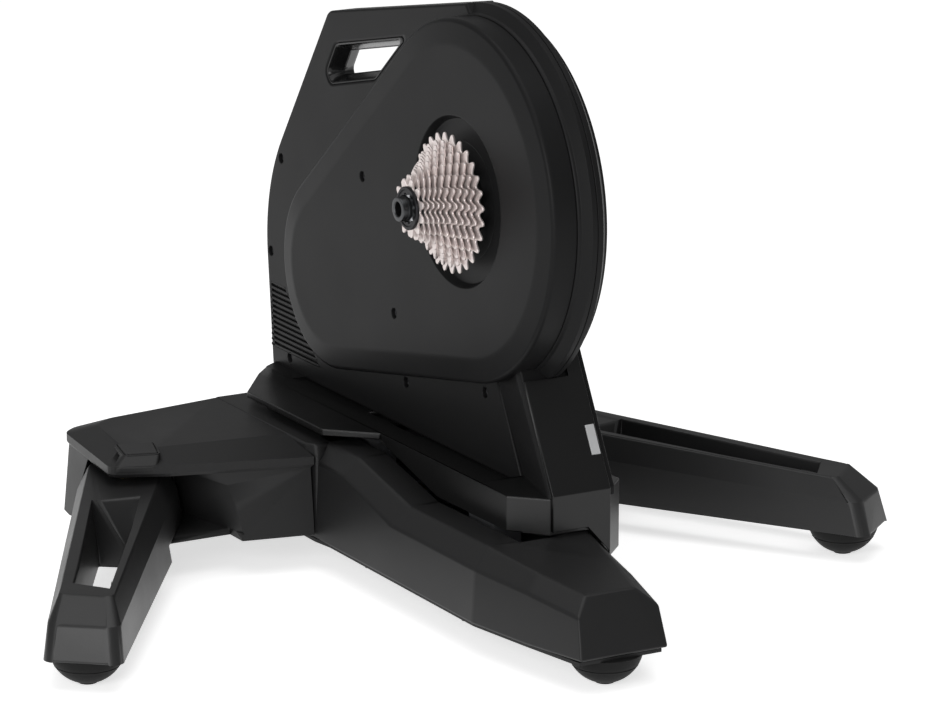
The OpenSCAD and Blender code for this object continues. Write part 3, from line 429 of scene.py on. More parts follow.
def turned(name, colour, roughness, about, axis="x", rings=2600, variation=0.12, metallic=1.0):
    """Metal turned on a lathe about a line through a point: fine rings in its gloss."""
    made = Finish(name).set(Metallic=metallic, Anisotropic=0.35)
    moved = made.node("ShaderNodeMapping", {"Vector": made.coords, "Location": tuple(-c for c in about)})
    parts = made.node("ShaderNodeSeparateXYZ", {"Vector": moved.outputs["Vector"]})
    a, b = {"x": ("Y", "Z"), "y": ("X", "Z"), "z": ("X", "Y")}[axis]
    flat = made.node("ShaderNodeCombineXYZ", {"X": parts.outputs[a], "Y": parts.outputs[b]})
    radius = made.node("ShaderNodeVectorMath", {0: flat.outputs["Vector"]}, operation="LENGTH")
    links = {"X": radius.outputs["Value"], "Y": parts.outputs[axis.upper()]}
    along = made.node("ShaderNodeCombineXYZ", links)
    ring = made.noise(rings, 2.0, coords=along.outputs["Vector"])
    wear = made.noise(60, 3.0)
    tone = made.mix(wear, shade(colour, 1 - variation), shade(colour, 1 + variation))
    made.link("Base Color", tone)
    made.link("Roughness", made.span(ring, roughness - 0.07, roughness + 0.1, 0.3, 0.7))
    made.bump((ring, 0.000012))
    return made.material


def cast(name, colour, roughness):
    """Cast or rolled metal with a pebbled skin."""
    made = Finish(name).set(Metallic=1.0)
    pebble = made.noise(500, 3.0)
    made.link("Base Color", made.mix(made.noise(25, 3.0), shade(colour, 0.85), shade(colour, 1.1)))
    made.link("Roughness", made.span(pebble, roughness - 0.08, roughness + 0.08, 0.3, 0.7))
    made.bump((pebble, 0.00008))
    return made.material


def frosted(name, colour):
    """Frosted light window, its tone and gloss varying a little at random."""
    made = Finish(name).set(Specular_IOR_Level=0.5, Coat_Weight=0.25, Coat_Roughness=0.25)
    cloud = made.noise(160, 2.0)
    made.link("Base Color", made.mix(cloud, shade(colour, 0.94), shade(colour, 1.05)))
    made.link("Roughness", made.span(cloud, 0.3, 0.42, 0.3, 0.7))
    return made.material


def board(name, colour):
    """Solder mask with copper tracks under it."""
    made = Finish(name).set(Specular_IOR_Level=0.5)
    tracks = made.node("ShaderNodeTexBrick", {"Vector": made.coords, "Scale": 130.0, "Mortar Size": 0.03})
    made.link("Base Color", made.mix(tracks.outputs["Fac"], colour, shade(colour, 2.2)))
    made.link("Roughness", made.span(made.noise(200), 0.25, 0.4))
    return made.material


def wound(name, colour):
    """Enamelled copper wire in layers."""
    made = Finish(name).set(Metallic=1.0)
    turns = made.node("ShaderNodeTexWave", {"Vector": made.coords, "Scale": 400.0, "Distortion": 0.4})
    made.link("Base Color", made.mix(turns.outputs["Fac"], shade(colour, 0.6), colour))
    made.link("Roughness", made.span(turns.outputs["Fac"], 0.25, 0.45))
    made.bump((turns.outputs["Fac"], 0.0002))
    return made.material


def make_finishes():
    """One material for each of the record's material slots."""
    paint = colours()
    pin = middle("hinge_bush_right")
    return {
        "base_plastic": moulded("base_plastic", paint.base, 0.44),
        "pan_plastic": moulded("pan_plastic", shade(paint.base, 0.8), 0.55),
        "leg_paint": painted("leg_paint", paint.base, 0.42),
        "latch_plastic": moulded("latch_plastic", shade(paint.base, 1.1), 0.42),
        "foot_rubber": rubber("foot_rubber", paint.rubber),
        "steel": turned("steel", (0.55, 0.56, 0.58), 0.28, AXLE),
        "screw_steel": turned("screw_steel", (0.06, 0.06, 0.063), 0.4, AXLE),
        "cast_alloy": cast("cast_alloy", (0.5, 0.51, 0.53), 0.45),
        "bush_bronze": turned("bush_bronze", (0.6, 0.42, 0.2), 0.3, pin, "z"),
        # The saddle's colour is the base's darkened to 0.4, which paints in the shade and dark reflection
        # that the body above throws on it
        "saddle_paint": painted("saddle_paint", shade(paint.base, 0.4), 0.34),
        "shell_plastic": moulded("shell_plastic", paint.shell, 0.42, gloss=0.1),
        "cover_plastic": moulded("cover_plastic", paint.shell, 0.4, gloss=0.08),
        "panel_plastic": moulded(
            "panel_plastic", shade(paint.shell, 0.5), 0.3, grain=700, depth=0.00002, gloss=0.35
        ),
        "liner_plastic": moulded("liner_plastic", shade(paint.shell, 0.6), 0.22, grain=300, depth=0.00001),
        "window_plastic": frosted("window_plastic", paint.window),
        "cap_alloy": turned("cap_alloy", (0.07, 0.072, 0.075), 0.34, AXLE),
        "belt_rubber": rubber("belt_rubber", paint.rubber),
        "core_steel": turned("core_steel", (0.3, 0.31, 0.33), 0.4, FLY),
        "copper": wound("copper", (0.7, 0.32, 0.14)),
        "board_green": board("board_green", (0.02, 0.1, 0.04)),
        "black_alloy": turned("black_alloy", (0.03, 0.03, 0.032), 0.38, AXLE),
        "nickel": turned("nickel", paint.nickel, 0.36, AXLE, rings=1800, metallic=0.75),
    }


def node_slots():
    """Material slot of each CAD node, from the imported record."""
    return {part["node"]: part["material_slot"] for part in frame["record"]["subparts"]}


def finish_of(slot):
    """Material of a slot."""
    return bpy.data.materials[slot]


def arc(centre, radius, start, end, steps):
    """Points of an arc, with angles in degrees."""
    turns = [math.radians(start + (end - start) * i / steps) for i in range(steps + 1)]
    return [centre + radius * Vector((math.cos(t), math.sin(t))) for t in turns]


def round_corner(before, corner, after, radius, step=8, count=None):
    """Arc that rounds a corner, with a point every few degrees or with so many steps."""
    u = (before - corner).normalized()
    v = (after - corner).normalized()
    half = math.acos(max(-1, min(1, u.dot(v)))) / 2
    centre = corner + (u + v).normalized() * radius / math.sin(half)
    first = corner + u * radius / math.tan(half) - centre
    turn = 180 - 2 * math.degrees(half)
    p, q = corner - before, after - corner
    side = 1 if p.x * q.y - p.y * q.x > 0 else -1
    start = math.degrees(math.atan2(first.y, first.x))
    return arc(centre, radius, start, start + side * turn, count or max(3, math.ceil(turn / step)))


def rounded(corners, step=8, count=None):
    """Outline through corners (a, b, radius)."""
    points = [Vector(c[:2]) for c in corners]
    made = []
    for i, corner in enumerate(corners):
        after = points[(i + 1) % len(points)]
        if corner[2] > 0:
            made += round_corner(points[i - 1], points[i], after, corner[2], step, count)
        else:
            made.append(points[i])
    return made


def inset(points, d):
    """Outline moved inwards by d, for points that run anticlockwise."""
    made = []
    for i, b in enumerate(points):
        u = (b - points[i - 1]).normalized()
        v = (points[(i + 1) % len(points)] - b).normalized()
        n, m = Vector((-u.y, u.x)), Vector((-v.y, v.x))
        made.append(b + d * (n + m) / (1 + n.dot(m)))
    return made


def loop_round(p, r, q, s, steps=120, few=48):
    """Closed loop round two circles."""
    way = q - p
    heading = math.degrees(math.atan2(way.y, way.x))
    open_angle = math.degrees(math.acos((r - s) / way.length))
    return arc(p, r, heading + open_angle, heading + 360 - open_angle, steps) + arc(
        q, s, heading - open_angle, heading + open_angle, few
    )


def circle(centre, radius, steps=32):
    """Points of a full circle, anticlockwise."""
    return arc(centre, radius, 0, 360 * (steps - 1) / steps, steps - 1)


def across(x, outline):
    """Outline in y and z turned into points at x."""
    return [spot(x, p.x, p.y) for p in outline]


def fillet(radius, steps=4):
    """Pairs (inwards, down) of a quarter round, from the wall to the face."""
    turns = [math.radians(90 * i / steps) for i in range(steps + 1)]
    return [(radius * (1 - math.cos(t)), radius * (1 - math.sin(t))) for t in turns]


def new_object(name, mesh):
    """Object in the scene for a mesh that is finished."""
    data = bpy.data.meshes.new(name)
    mesh.to_mesh(data)
    mesh.free()
    made = bpy.data.objects.new(name, data)
    bpy.context.scene.collection.objects.link(made)
    return made


class Skin:
    """A mesh made of rings of points, walls between them and lids with holes."""

    def __init__(self):
        self.mesh = bmesh.new()

    def ring(self, points):
        """Adds a closed row of points."""
        return [self.mesh.verts.new(p) for p in points]

    def wall(self, low, high):
        """Joins two rings. The wall faces outwards where they run anticlockwise about the way up."""
        count = len(low)
        for i in range(count):
            k = (i + 1) % count
            self.mesh.faces.new((low[i], low[k], high[k], high[i]))

    def walls(self, rings):
        """Adds rings of points and the walls between them."""
        rows = [self.ring(points) for points in rings]
        for low, high in zip(rows, rows[1:]):
            self.wall(low, high)
        return rows

    def lid(self, normal, *rings):
        """Fills the first ring, round the others."""
        edges = []
        for ring in rings:
            for i, vert in enumerate(ring):
                pair = (ring[i - 1], vert)
                edges.append(self.mesh.edges.get(pair) or self.mesh.edges.new(pair))
        made = bmesh.ops.triangle_fill(self.mesh, edges=edges, use_beauty=True, normal=normal)
        for face in made["geom"]:
            if isinstance(face, bmesh.types.BMFace):
                face.normal_update()
                if face.normal.dot(normal) < 0:
                    face.normal_flip()

    def mirror(self, plane_x):
        """Turns the mesh over to the other side of a plane, given in millimetres."""
        for vert in self.mesh.verts:
            vert.co.x = 2 * plane_x * MM - vert.co.x
        bmesh.ops.reverse_faces(self.mesh, faces=self.mesh.faces)
        return self

    def piece(self, name, sharp=32):
        """Turns the mesh into an object."""
        return smooth(new_object(name, self.mesh), sharp)


def smooth(piece, sharp=32):
    """Smooth shading, with edges sharper than an angle kept crisp."""
    piece.data.polygons.foreach_set("use_smooth", [True] * len(piece.data.polygons))
    piece.data.set_sharp_from_angle(angle=math.radians(sharp))
    piece.data.update()
    return piece


def baked(piece):
    """Applies the piece's modifiers by taking its evaluated mesh."""
    bpy.context.view_layer.update()
    seen = piece.evaluated_get(bpy.context.evaluated_depsgraph_get())
    data = bpy.data.meshes.new_from_object(seen)
    data.name = piece.name
    piece.modifiers.clear()
    old = piece.data
    piece.data = data
    bpy.data.meshes.remove(old)
    return piece


def join(*made):
    """Joins objects into the first one."""
    first = made[0]
    mesh = bmesh.new()
    for piece in made:
        mesh.from_mesh(piece.data)
    mesh.to_mesh(first.data)
    mesh.free()
    for piece in made[1:]:
        bpy.data.objects.remove(piece)
    return first


def even_normals(piece):
    """Lets the large flat faces set the normals at their rounded edges."""
    weigh = piece.modifiers.new("normals", "WEIGHTED_NORMAL")
    weigh.mode = "FACE_AREA"
    weigh.weight = 100
    weigh.keep_sharp = True
    return baked(piece)


def dress(piece, body, slot, *nodes, finish=None):
    """Gives a piece its material, its body and the nodes that it stands for."""
    even_normals(piece)
    piece.data.materials.clear()
    piece.data.materials.append(finish_of(finish or slot))
    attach(piece, body)
    if nodes:
        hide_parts(*nodes)
    return piece


def slat_shape(plane):
    """Slat with rounded front edges, one metre long, drawn about the origin."""
    skin = Skin()
    half = VENT_DEPTH / 2
    height = 2.5
    edge = 0.5
    section = [(-half, 0), (half - edge, 0), (half - 0.15, 0.15), (half, edge), (half, height - edge)]
    section += [(half - 0.15, height - 0.15), (half - edge, height), (-half, height)]
    rows = [[skin.mesh.verts.new((plane * x * MM, y, z * MM)) for x, z in section] for y in (0, 1)]
    skin.wall(*rows)
    skin.lid(Vector((0, -1, 0)), rows[0])
    skin.lid(Vector((0, 1, 0)), rows[1])
    bmesh.ops.recalc_face_normals(skin.mesh, faces=skin.mesh.faces)
    return skin.piece("slat_shape", 40)


def merged_copy(node, name):
    """Copy of a node's mesh with its triangles joined into flat faces, and its long sharp edges marked."""
    flat = math.radians(1.5)
    sharp = math.radians(14)
    shortest = 0.006
    mesh = bmesh.new()
    mesh.from_mesh(frame["nodes"][node].data)
    bmesh.ops.remove_doubles(mesh, verts=mesh.verts, dist=2e-6)
    bmesh.ops.dissolve_limit(
        mesh, angle_limit=flat, verts=mesh.verts, edges=mesh.edges, use_dissolve_boundaries=False
    )
    mark = mesh.edges.layers.float.new("bevel_weight_edge")
    for edge in mesh.edges:
        if edge.calc_face_angle(0) > sharp and edge.calc_length() > shortest:
            edge[mark] = 1.0
    bmesh.ops.triangulate(mesh, faces=[face for face in mesh.faces if len(face.verts) > 4])
    return new_object(name, mesh)


def softened(node, name, radius):
    """Copy of a node with its hard edges rounded."""
    made = merged_copy(node, name)
    bevel = made.modifiers.new("rounding", "BEVEL")
    bevel.width = radius
    bevel.segments = 3
    bevel.limit_method = "WEIGHT"
    bevel.use_clamp_overlap = False
    return smooth(baked(made), 40)


def rounded_edges(piece, width, sharp):
    """Rounds the edges of a piece that are sharper than an angle."""
    bevel = piece.modifiers.new("rounding", "BEVEL")
    bevel.width = width
    bevel.segments = 3
    bevel.limit_method = "ANGLE"
    bevel.angle_limit = math.radians(sharp)
    return smooth(baked(piece), 40)


def lathe(name, profile, centre, steps=96, upright=False):
    """Turns a closed profile (along, radius) about a line through centre, along x or z."""
    skin = Skin()
    rows = []
    for along, radius in profile:
        if upright:
            flat = circle(Vector(centre), radius, steps)
            rows.append(skin.ring([spot(p.x, p.y, along) for p in flat]))
        else:
            rows.append(skin.ring(across(along, circle(Vector(centre), radius, steps))))
    for low, high in zip(rows, rows[1:] + rows[:1]):
        skin.wall(low, high)
    bmesh.ops.recalc_face_normals(skin.mesh, faces=skin.mesh.faces)
    return skin.piece(name)


class Pattern(Nodes):
    """A Geometry Nodes tree that repeats a shape, with named inputs."""

    def __init__(self, name):
        self.tree = bpy.data.node_groups.new(name, "GeometryNodeTree")
        self.socket("Geometry", "Geometry")
        self.tree.interface.new_socket("Geometry", in_out="OUTPUT", socket_type="NodeSocketGeometry")
        self.source = self.tree.nodes.new("NodeGroupInput")

    def socket(self, name, kind):
        """Adds a named input."""
        self.tree.interface.new_socket(name, in_out="INPUT", socket_type="NodeSocket" + kind)

    def finish(self, instances, merge):
        """Ends the tree in real geometry with a material."""
        real = self.node("GeometryNodeRealizeInstances", {"Geometry": instances})
        whole = self.node("GeometryNodeMergeByDistance", {"Geometry": real.outputs[0], "Distance": merge})
        given = self.source.outputs["Material"]
        shaded = self.node("GeometryNodeSetMaterial", {"Geometry": whole.outputs[0], "Material": given})
        out = self.tree.nodes.new("NodeGroupOutput")
        self.tree.links.new(shaded.outputs[0], out.inputs[0])

    def run(self, holder, **values):
        """Applies the tree to an object with values for its inputs."""
        modifier = holder.modifiers.new("pattern", "NODES")
        modifier.node_group = self.tree
        for item in self.tree.interface.items_tree:
            if item.in_out == "INPUT" and item.name in values:
                modifier[item.identifier] = values[item.name]
        return baked(holder)


def round_pattern():
    """Tree that repeats a shape round a line along x through a centre."""
    tree = Pattern("repeat round a line")
    for name, kind in (
        ("Shape", "Object"), ("Count", "Int"), ("Centre", "Vector"), ("Material", "Material"),
    ):
        tree.socket(name, kind)
    given = tree.source.outputs
    line = tree.node("GeometryNodeMeshLine", {"Count": given["Count"], "Offset": (0, 0, 0)})
    shape = tree.node("GeometryNodeObjectInfo", {"Object": given["Shape"]})
    step = tree.node("ShaderNodeMath", {0: math.tau, 1: given["Count"]}, operation="DIVIDE")
    index = tree.node("GeometryNodeInputIndex").outputs[0]
    turn = tree.node("ShaderNodeMath", {0: index, 1: step.outputs[0]}, operation="MULTIPLY")
    spin = tree.node("ShaderNodeCombineXYZ", {"X": turn.outputs[0]})
    links = {"Points": line.outputs[0], "Instance": shape.outputs["Geometry"], "Rotation": spin.outputs[0]}
    copies = tree.node("GeometryNodeInstanceOnPoints", links)
    links = {"Geometry": copies.outputs[0], "Translation": given["Centre"]}
    moved = tree.node("GeometryNodeTransform", links)
    tree.finish(moved.outputs[0], 0.000002)
    return tree


def place_pattern():
    """Tree that puts a shape at every point of the holder's mesh."""
    tree = Pattern("put at points")
    for name, kind in (("Shape", "Object"), ("Material", "Material")):
        tree.socket(name, kind)
    given = tree.source.outputs
    shape = tree.node("GeometryNodeObjectInfo", {"Object": given["Shape"]})
    links = {"Points": given["Geometry"], "Instance": shape.outputs["Geometry"]}
    copies = tree.node("GeometryNodeInstanceOnPoints", links)
    tree.finish(copies.outputs[0], 0.0000005)
    return tree


def slat_pattern():
    """Tree that stacks slats upwards, each shorter than the one below."""
    tree = Pattern("stack of slats")
    for name, kind in (
        ("Shape", "Object"), ("Count", "Int"), ("Start", "Vector"), ("Step", "Vector"),
        ("Length", "Float"), ("Loss", "Float"), ("Material", "Material"),
    ):
        tree.socket(name, kind)
    given = tree.source.outputs
    links = {"Count": given["Count"], "Start Location": given["Start"], "Offset": given["Step"]}
    line = tree.node("GeometryNodeMeshLine", links)
    shape = tree.node("GeometryNodeObjectInfo", {"Object": given["Shape"]})
    index = tree.node("GeometryNodeInputIndex").outputs[0]
    lost = tree.node("ShaderNodeMath", {0: index, 1: given["Loss"]}, operation="MULTIPLY").outputs[0]
    length = tree.node("ShaderNodeMath", {0: given["Length"], 1: lost}, operation="SUBTRACT").outputs[0]
    scale = tree.node("ShaderNodeCombineXYZ", {"X": 1.0, "Y": length, "Z": 1.0})
    links = {"Points": line.outputs[0], "Instance": shape.outputs["Geometry"], "Scale": scale.outputs[0]}
    copies = tree.node("GeometryNodeInstanceOnPoints", links)
    tree.finish(copies.outputs[0], 0.0000005)
    return tree


def empty_piece(name, points=()):
    """Object that holds bare points, for a pattern to work on."""
    mesh = bmesh.new()
    for point in points:
        mesh.verts.new(point)
    return new_object(name, mesh)


def drop(*pieces):
    """Removes shapes that were only needed to make another piece."""
    for piece in pieces:
        bpy.data.objects.remove(piece)


def body_outline():
    """Outline of a body plate, closed round the drum inside its rim."""
    start = math.degrees(math.atan2(CORE_TOE[1] - AXLE_Z, CORE_TOE[0]))
    core = arc(AXLE_POINT, PLATE_IN_RIM, start, 101, 90)
    heel, toe = (HEEL_Y, BODY_FLOOR, 0), (TOE_Y, BODY_FLOOR, 0)
    return core[1:-1] + rounded([SLOPE_END, TOP_CORNER, REAR_CORNER, heel, toe, CORE_TOE], 3)


def handle_loop(x, d):
    """Carry handle's opening at x, smaller by d, which narrows to the seam."""
    share = HANDLE_TAPER * (1 - abs(x - SEAM_X) / (PLATE_HALF + 1))
    depth = d + share
    corners = inset([Vector(c[:2]) for c in HANDLE], depth)
    return rounded([(p.x, p.y, c[2] - depth * c[3]) for p, c in zip(corners, HANDLE)], 5)


def cover_loop(d, radius):
    """Outline of a cover, smaller by d."""
    return loop_round(AXLE_POINT, radius - d, FLY_POINT, BOSS_R - d)


def sink(skin, ring, x, centre, radius, depth):
    """Carries on a ring of a lid as a well with a chamfered mouth and a floor."""
    chamfer = 0.5
    rows = [ring]
    for down, r in ((chamfer, radius), (depth - chamfer, radius), (depth, radius - chamfer)):
        rows.append(skin.ring(across(x - down, circle(Vector(centre), r, len(ring)))))
        skin.wall(rows[-2], rows[-1])
    skin.lid(Vector((1, 0, 0)), rows[-1])


def vent_outline():
    """Outline of the vent field in a body plate."""
    high = VENT_LOW + VENT_COUNT * VENT_STEP + 2.4
    lean = VENT_COUNT * VENT_SLANT + 2.7
    low_corners = [(VENT_REAR, VENT_LOW, 2), (VENT_FRONT, VENT_LOW, 1.5)]
    return rounded(low_corners + [(VENT_FRONT - lean, high, 3), (VENT_REAR - 5.8, high, 2)])


def body_half():
    """Drive side half of the body: its edge, its face and all that is sunk in it."""
    skin = Skin()
    outline = body_outline()
    radius = 2.4
    groove = 1.1
    rings = [
        across(SEAM_X, inset(outline, groove)), across(SEAM_X + 0.35, inset(outline, groove)),
        across(SEAM_X + 0.35, inset(outline, 0.25)), across(SEAM_X + 0.6, outline),
    ]
    rings += [across(PLATE_X - down, inset(outline, inward)) for inward, down in fillet(radius)]
    rows = skin.walls(rings)
    facing = Vector((1, 0, 0))
    mouth = 1.6
    handle = [
        skin.ring(across(PLATE_X - down, handle_loop(PLATE_X - down, -inward)))
        for inward, down in reversed(fillet(mouth))
    ]
    handle.append(skin.ring(across(PLATE_X - 3, handle_loop(PLATE_X - 3, 1.2))))
    for low, high in zip(handle, handle[1:]):
        skin.wall(low, high)
    well = sizes().well_radius / MM
    wells = [skin.ring(across(PLATE_X, circle(Vector(p), well + 0.5))) for p in PLATE_SCREWS]
    vent = vent_outline()
    field = skin.ring(across(PLATE_X, vent))
    skin.lid(facing, rows[-1], handle[0], field, *wells)
    for p, ring in zip(PLATE_SCREWS, wells):
        sink(skin, ring, PLATE_X, p, well, PLATE_WELL)
    floor = skin.ring(across(PLATE_X - VENT_DEPTH, vent))
    skin.wall(field, floor)
    skin.lid(facing, floor)
    return skin


def rim_half(radius):
    """Drive side half of the drum's rim, from a profile of x and depth below the rim's top."""
    profile = [(0, 1.1), (0.35, 1.1), (0.35, 0.3), (0.65, 0), (4.6, 0), (5.0, 0.12), (5.35, 0.5)]
    profile += [(10.6, 7.3), (11, 7.9), (11.4, 8.1), (12.6, 8.3), (13.4, 8.7), (13.9, 9.3)]
    profile.append((13.9, DRUM_R - radius))
    skin = Skin()
    skin.walls([across(SEAM_X + x, circle(AXLE_POINT, DRUM_R - down, 288)) for x, down in profile])
    return skin


def cover_half(radius, open_face):
    """Drive side cover of a radius round the axle, with or without its recess and screw wells."""
    size = sizes()
    skin = Skin()
    edge = size.cover_fillet / MM
    bevel = size.face_bevel / MM
    edge_x = COVER_FACE_X - size.face_rise / MM
    steps = [(PLATE_X, 0.9), (PLATE_X + 0.5, 0.9), (PLATE_X + 0.5, 0.2), (PLATE_X + 0.8, 0)]
    steps += [(edge_x - down + 0.3 * inward / edge, inward) for inward, down in fillet(edge, 6)]
    steps += [(COVER_FACE_X - 0.5, bevel - 3), (COVER_FACE_X - 0.12, bevel - 0.6), (COVER_FACE_X, bevel + 2)]
    rows = skin.walls([across(x, cover_loop(d, radius)) for x, d in steps])
    facing = Vector((1, 0, 0))
    if not open_face:
        skin.lid(facing, rows[-1])
        return skin
    recess = size.recess_radius / MM
    depth = size.recess_depth / MM
    well = size.well_radius / MM
    dish = [(0, recess + 1.2), (0.25, recess + 0.5), (0.8, recess), (depth - 1.5, recess - 2.4)]
    dish += [(depth - 0.5, recess - 3), (depth, recess - 4.2)]
    dish += [(depth, 52), (depth + 0.5, 51), (depth + 1, 50)]
    dish += [(depth + 1, 31), (depth + 0.2, 30), (depth + 0.2, 27.2), (depth + 1, 26.5), (depth + 4, 26.5)]
    rings = [skin.ring(across(COVER_FACE_X - down, circle(AXLE_POINT, r, 160))) for down, r in dish]
    for low, high in zip(rings, rings[1:]):
        skin.wall(low, high)
    wells = [skin.ring(across(COVER_FACE_X, circle(Vector(p), well + 0.5))) for p in COVER_SCREWS]
    skin.lid(facing, rows[-1], rings[0], *wells)
    for p, ring in zip(COVER_SCREWS, wells):
        sink(skin, ring, COVER_FACE_X, p, well, COVER_WELL)
    return skin


def front_at(z):
    """Place of the leaning front face at height z."""
    return FRONT_Y - max(0, z - BEND_Z) * LEAN


def column_half(flare, step):
    """Drive side half of the column between the body and the saddle's front."""
    skin = Skin()
    rings = []
    for z in (SADDLE_TOP - 4, BEND_Z, COLUMN_TOP):
        face = front_at(z) - PANEL_T - 0.2
        back = TOE_Y - (z - SADDLE_TOP) * 0.6
        edge = face - step - (z - SADDLE_TOP) * step / 70
        points = [
            (SEAM_X, back), (PLATE_X - 1, back), (SEAM_X + PANEL_HALF + flare, edge),
            (SEAM_X + PANEL_HALF - 0.5, face), (SEAM_X, face),
        ]
        rings.append([spot(x, y, z) for x, y in points])
    rows = skin.walls(rings)
    skin.lid(Vector((0, 0, 1)), rows[-1])
    return skin


def tooth_radii(teeth):
    """Radius of a sprocket's tooth tips, of its pitch circle and of its roots."""
    turn = math.pi / teeth
    pitch = CHAIN_PITCH / (2 * math.sin(turn))
    return CHAIN_PITCH * (0.6 + 1 / math.tan(turn)) / 2, pitch, pitch - 3.95


def ring_share(name, rows):
    """Share of a ring about the x axis, through rows of an x and its (radius, angle) pairs."""
    skin = Skin()
    made = [[skin.mesh.verts.new(polar(x, r, a)) for r, a in row] for x, row in rows]
    for low, high in zip(made, made[1:] + made[:1]):
        for i in range(len(low) - 1):
            skin.mesh.faces.new((low[i], low[i + 1], high[i + 1], high[i]))
    bmesh.ops.recalc_face_normals(skin.mesh, faces=skin.mesh.faces)
    return skin.piece(name, 25)


def polar(x, radius, angle):
    """Point in metres at a radius and an angle about the x axis."""
    return Vector((x * MM, radius * math.cos(angle) * MM, radius * math.sin(angle) * MM))


def web_radius(teeth):
    """Radius inside a large sprocket's ring, where its web begins."""
    return max(FREEHUB_R + WEB_DEPTH, tooth_radii(teeth)[2] - WEB_DEPTH)


def tooth(teeth):
    """One tooth of a sprocket with its share of the disc, drawn about the x axis."""
    tip, pitch, root = tooth_radii(teeth)
    step = math.tau / teeth
    chamfer = sizes().tooth_chamfer / MM
    half = SPROCKET_T / 2
    span = [
        (0.0, root), (0.07, root + 0.25), (0.15, root + 1.3), (0.24, pitch - 0.6), (0.33, tip - 1.6),
        (0.4, tip - 0.4), (0.46, tip), (0.54, tip), (0.6, tip - 0.4), (0.67, tip - 1.6), (0.76, pitch - 0.6),
        (0.85, root + 1.3), (0.93, root + 0.25), (1.0, root),
    ]
    inner = web_radius(teeth) if teeth > WEB_TEETH else FREEHUB_R
    bore = [(inner, step * share) for share, r in span]
    rows = [(-half, bore)]
    for x, down in ((-half, chamfer), (chamfer - half, 0), (half - chamfer, 0), (half, chamfer)):
        rows.append((x, [(r - down, step * share) for share, r in span]))
    rows.append((half, bore))
    return ring_share(f"tooth_{teeth}", rows)


def spider(teeth):
    """One arm of the web between a large sprocket's ring and the freehub."""
    outer = web_radius(teeth) + 0.4
    half = SPROCKET_T / 2 - 0.15
    skin = Skin()
    flank = [
        (FREEHUB_R, 0.5), (FREEHUB_R + 2.4, 0.5), (FREEHUB_R + 4, 0.2), (outer - 3, 0.13), (outer - 1, 0.24),
        (outer, 0.5),
    ]
    outline = [(r, -share) for r, share in flank] + list(reversed(flank))
    step = math.tau / ARMS
    rows = [skin.ring([polar(x, r, step * share) for r, share in outline]) for x in (-half, half)]
    skin.wall(*rows)
    skin.lid(Vector((-1, 0, 0)), rows[0])
    skin.lid(Vector((1, 0, 0)), rows[1])
    bmesh.ops.recalc_face_normals(skin.mesh, faces=skin.mesh.faces)
    return skin.piece(f"arm_{teeth}", 25)


def sprocket(number, rings):
    """Sprocket by its number, counted from the largest."""
    teeth = TEETH[number]
    centre = spot(FIRST_X + number * SPROCKET_PITCH, 0, AXLE_Z)
    shape = tooth(teeth)
    finish = finish_of("nickel")
    made = rings.run(
        empty_piece(f"sprocket_{teeth}"), Shape=shape, Count=teeth, Centre=centre, Material=finish
    )
    drop(shape)
    if teeth > WEB_TEETH:
        shape = spider(teeth)
        arms = rings.run(
            empty_piece(f"arms_{teeth}"), Shape=shape, Count=ARMS, Centre=centre, Material=finish
        )
        drop(shape)
        join(made, arms)
    return smooth(made, 25)


def hoops(skin, steps, sides):
    """Adds rings of so many sides about the x axis, through (x, radius) steps, and their walls."""
    rings = []
    for x, r in steps:
        flat = circle(Vector((0, 0)), r, sides)
        rings.append([Vector((x * MM, p.x * MM, p.y * MM)) for p in flat])
    return skin.walls(rings)


def screw_head(name, radius):
    """Socket head screw seen from +x, at the origin."""
    skin = Skin()
    chamfer = 0.35
    socket = radius * 0.52
    rows = hoops(skin, [(-2.2, radius), (-chamfer, radius), (0, radius - chamfer)], 32)
    hexes = hoops(skin, [(0, socket + 0.25), (-0.25, socket), (-1.6, socket)], 6)
    skin.lid(Vector((1, 0, 0)), rows[-1], hexes[0])
    skin.lid(Vector((1, 0, 0)), hexes[-1])
    return skin.piece(name)


def make_camera():
    """Camera at the photograph's angle, with a long lens."""
    data = bpy.data.cameras.new("camera")
    data.lens = CAMERA_LENS
    data.sensor_width = CAMERA_SENSOR
    data.clip_end = 50
    camera = bpy.data.objects.new("camera", data)
    bpy.context.scene.collection.objects.link(camera)
    turn, rise = math.radians(CAMERA_AZIMUTH), math.radians(CAMERA_ELEVATION)
    back = Vector((math.sin(turn) * math.cos(rise), -math.cos(turn) * math.cos(rise), math.sin(rise)))
    camera.rotation_mode = "QUATERNION"
    camera.location = spot(*CAMERA_PLACE)
    camera.rotation_quaternion = (-back).to_track_quat("-Z", "Y")
    bpy.context.scene.camera = camera


def make_lamp(name, place, aim, size, power):
    """Soft rectangular lamp that looks at a point."""
    data = bpy.data.lights.new(name, "AREA")
    data.shape = "RECTANGLE"
    data.size, data.size_y = size
    data.energy = power
    lamp = bpy.data.objects.new(name, data)
    lamp.location = place
    lamp.rotation_mode = "QUATERNION"
    lamp.rotation_quaternion = (Vector(aim) - Vector(place)).to_track_quat("-Z", "Y")
    bpy.context.scene.collection.objects.link(lamp)


def seen_by_eye(tree):
    """Factor that is 1 for camera, glossy and transmission rays."""
    path = tree.nodes.new("ShaderNodeLightPath")
    total = path.outputs["Is Camera Ray"]
    for name in ("Is Glossy Ray", "Is Transmission Ray"):
        add = tree.nodes.new("ShaderNodeMath")
        add.operation = "MAXIMUM"
        tree.links.new(total, add.inputs[0])
        tree.links.new(path.outputs[name], add.inputs[1])
        total = add.outputs[0]
    return total


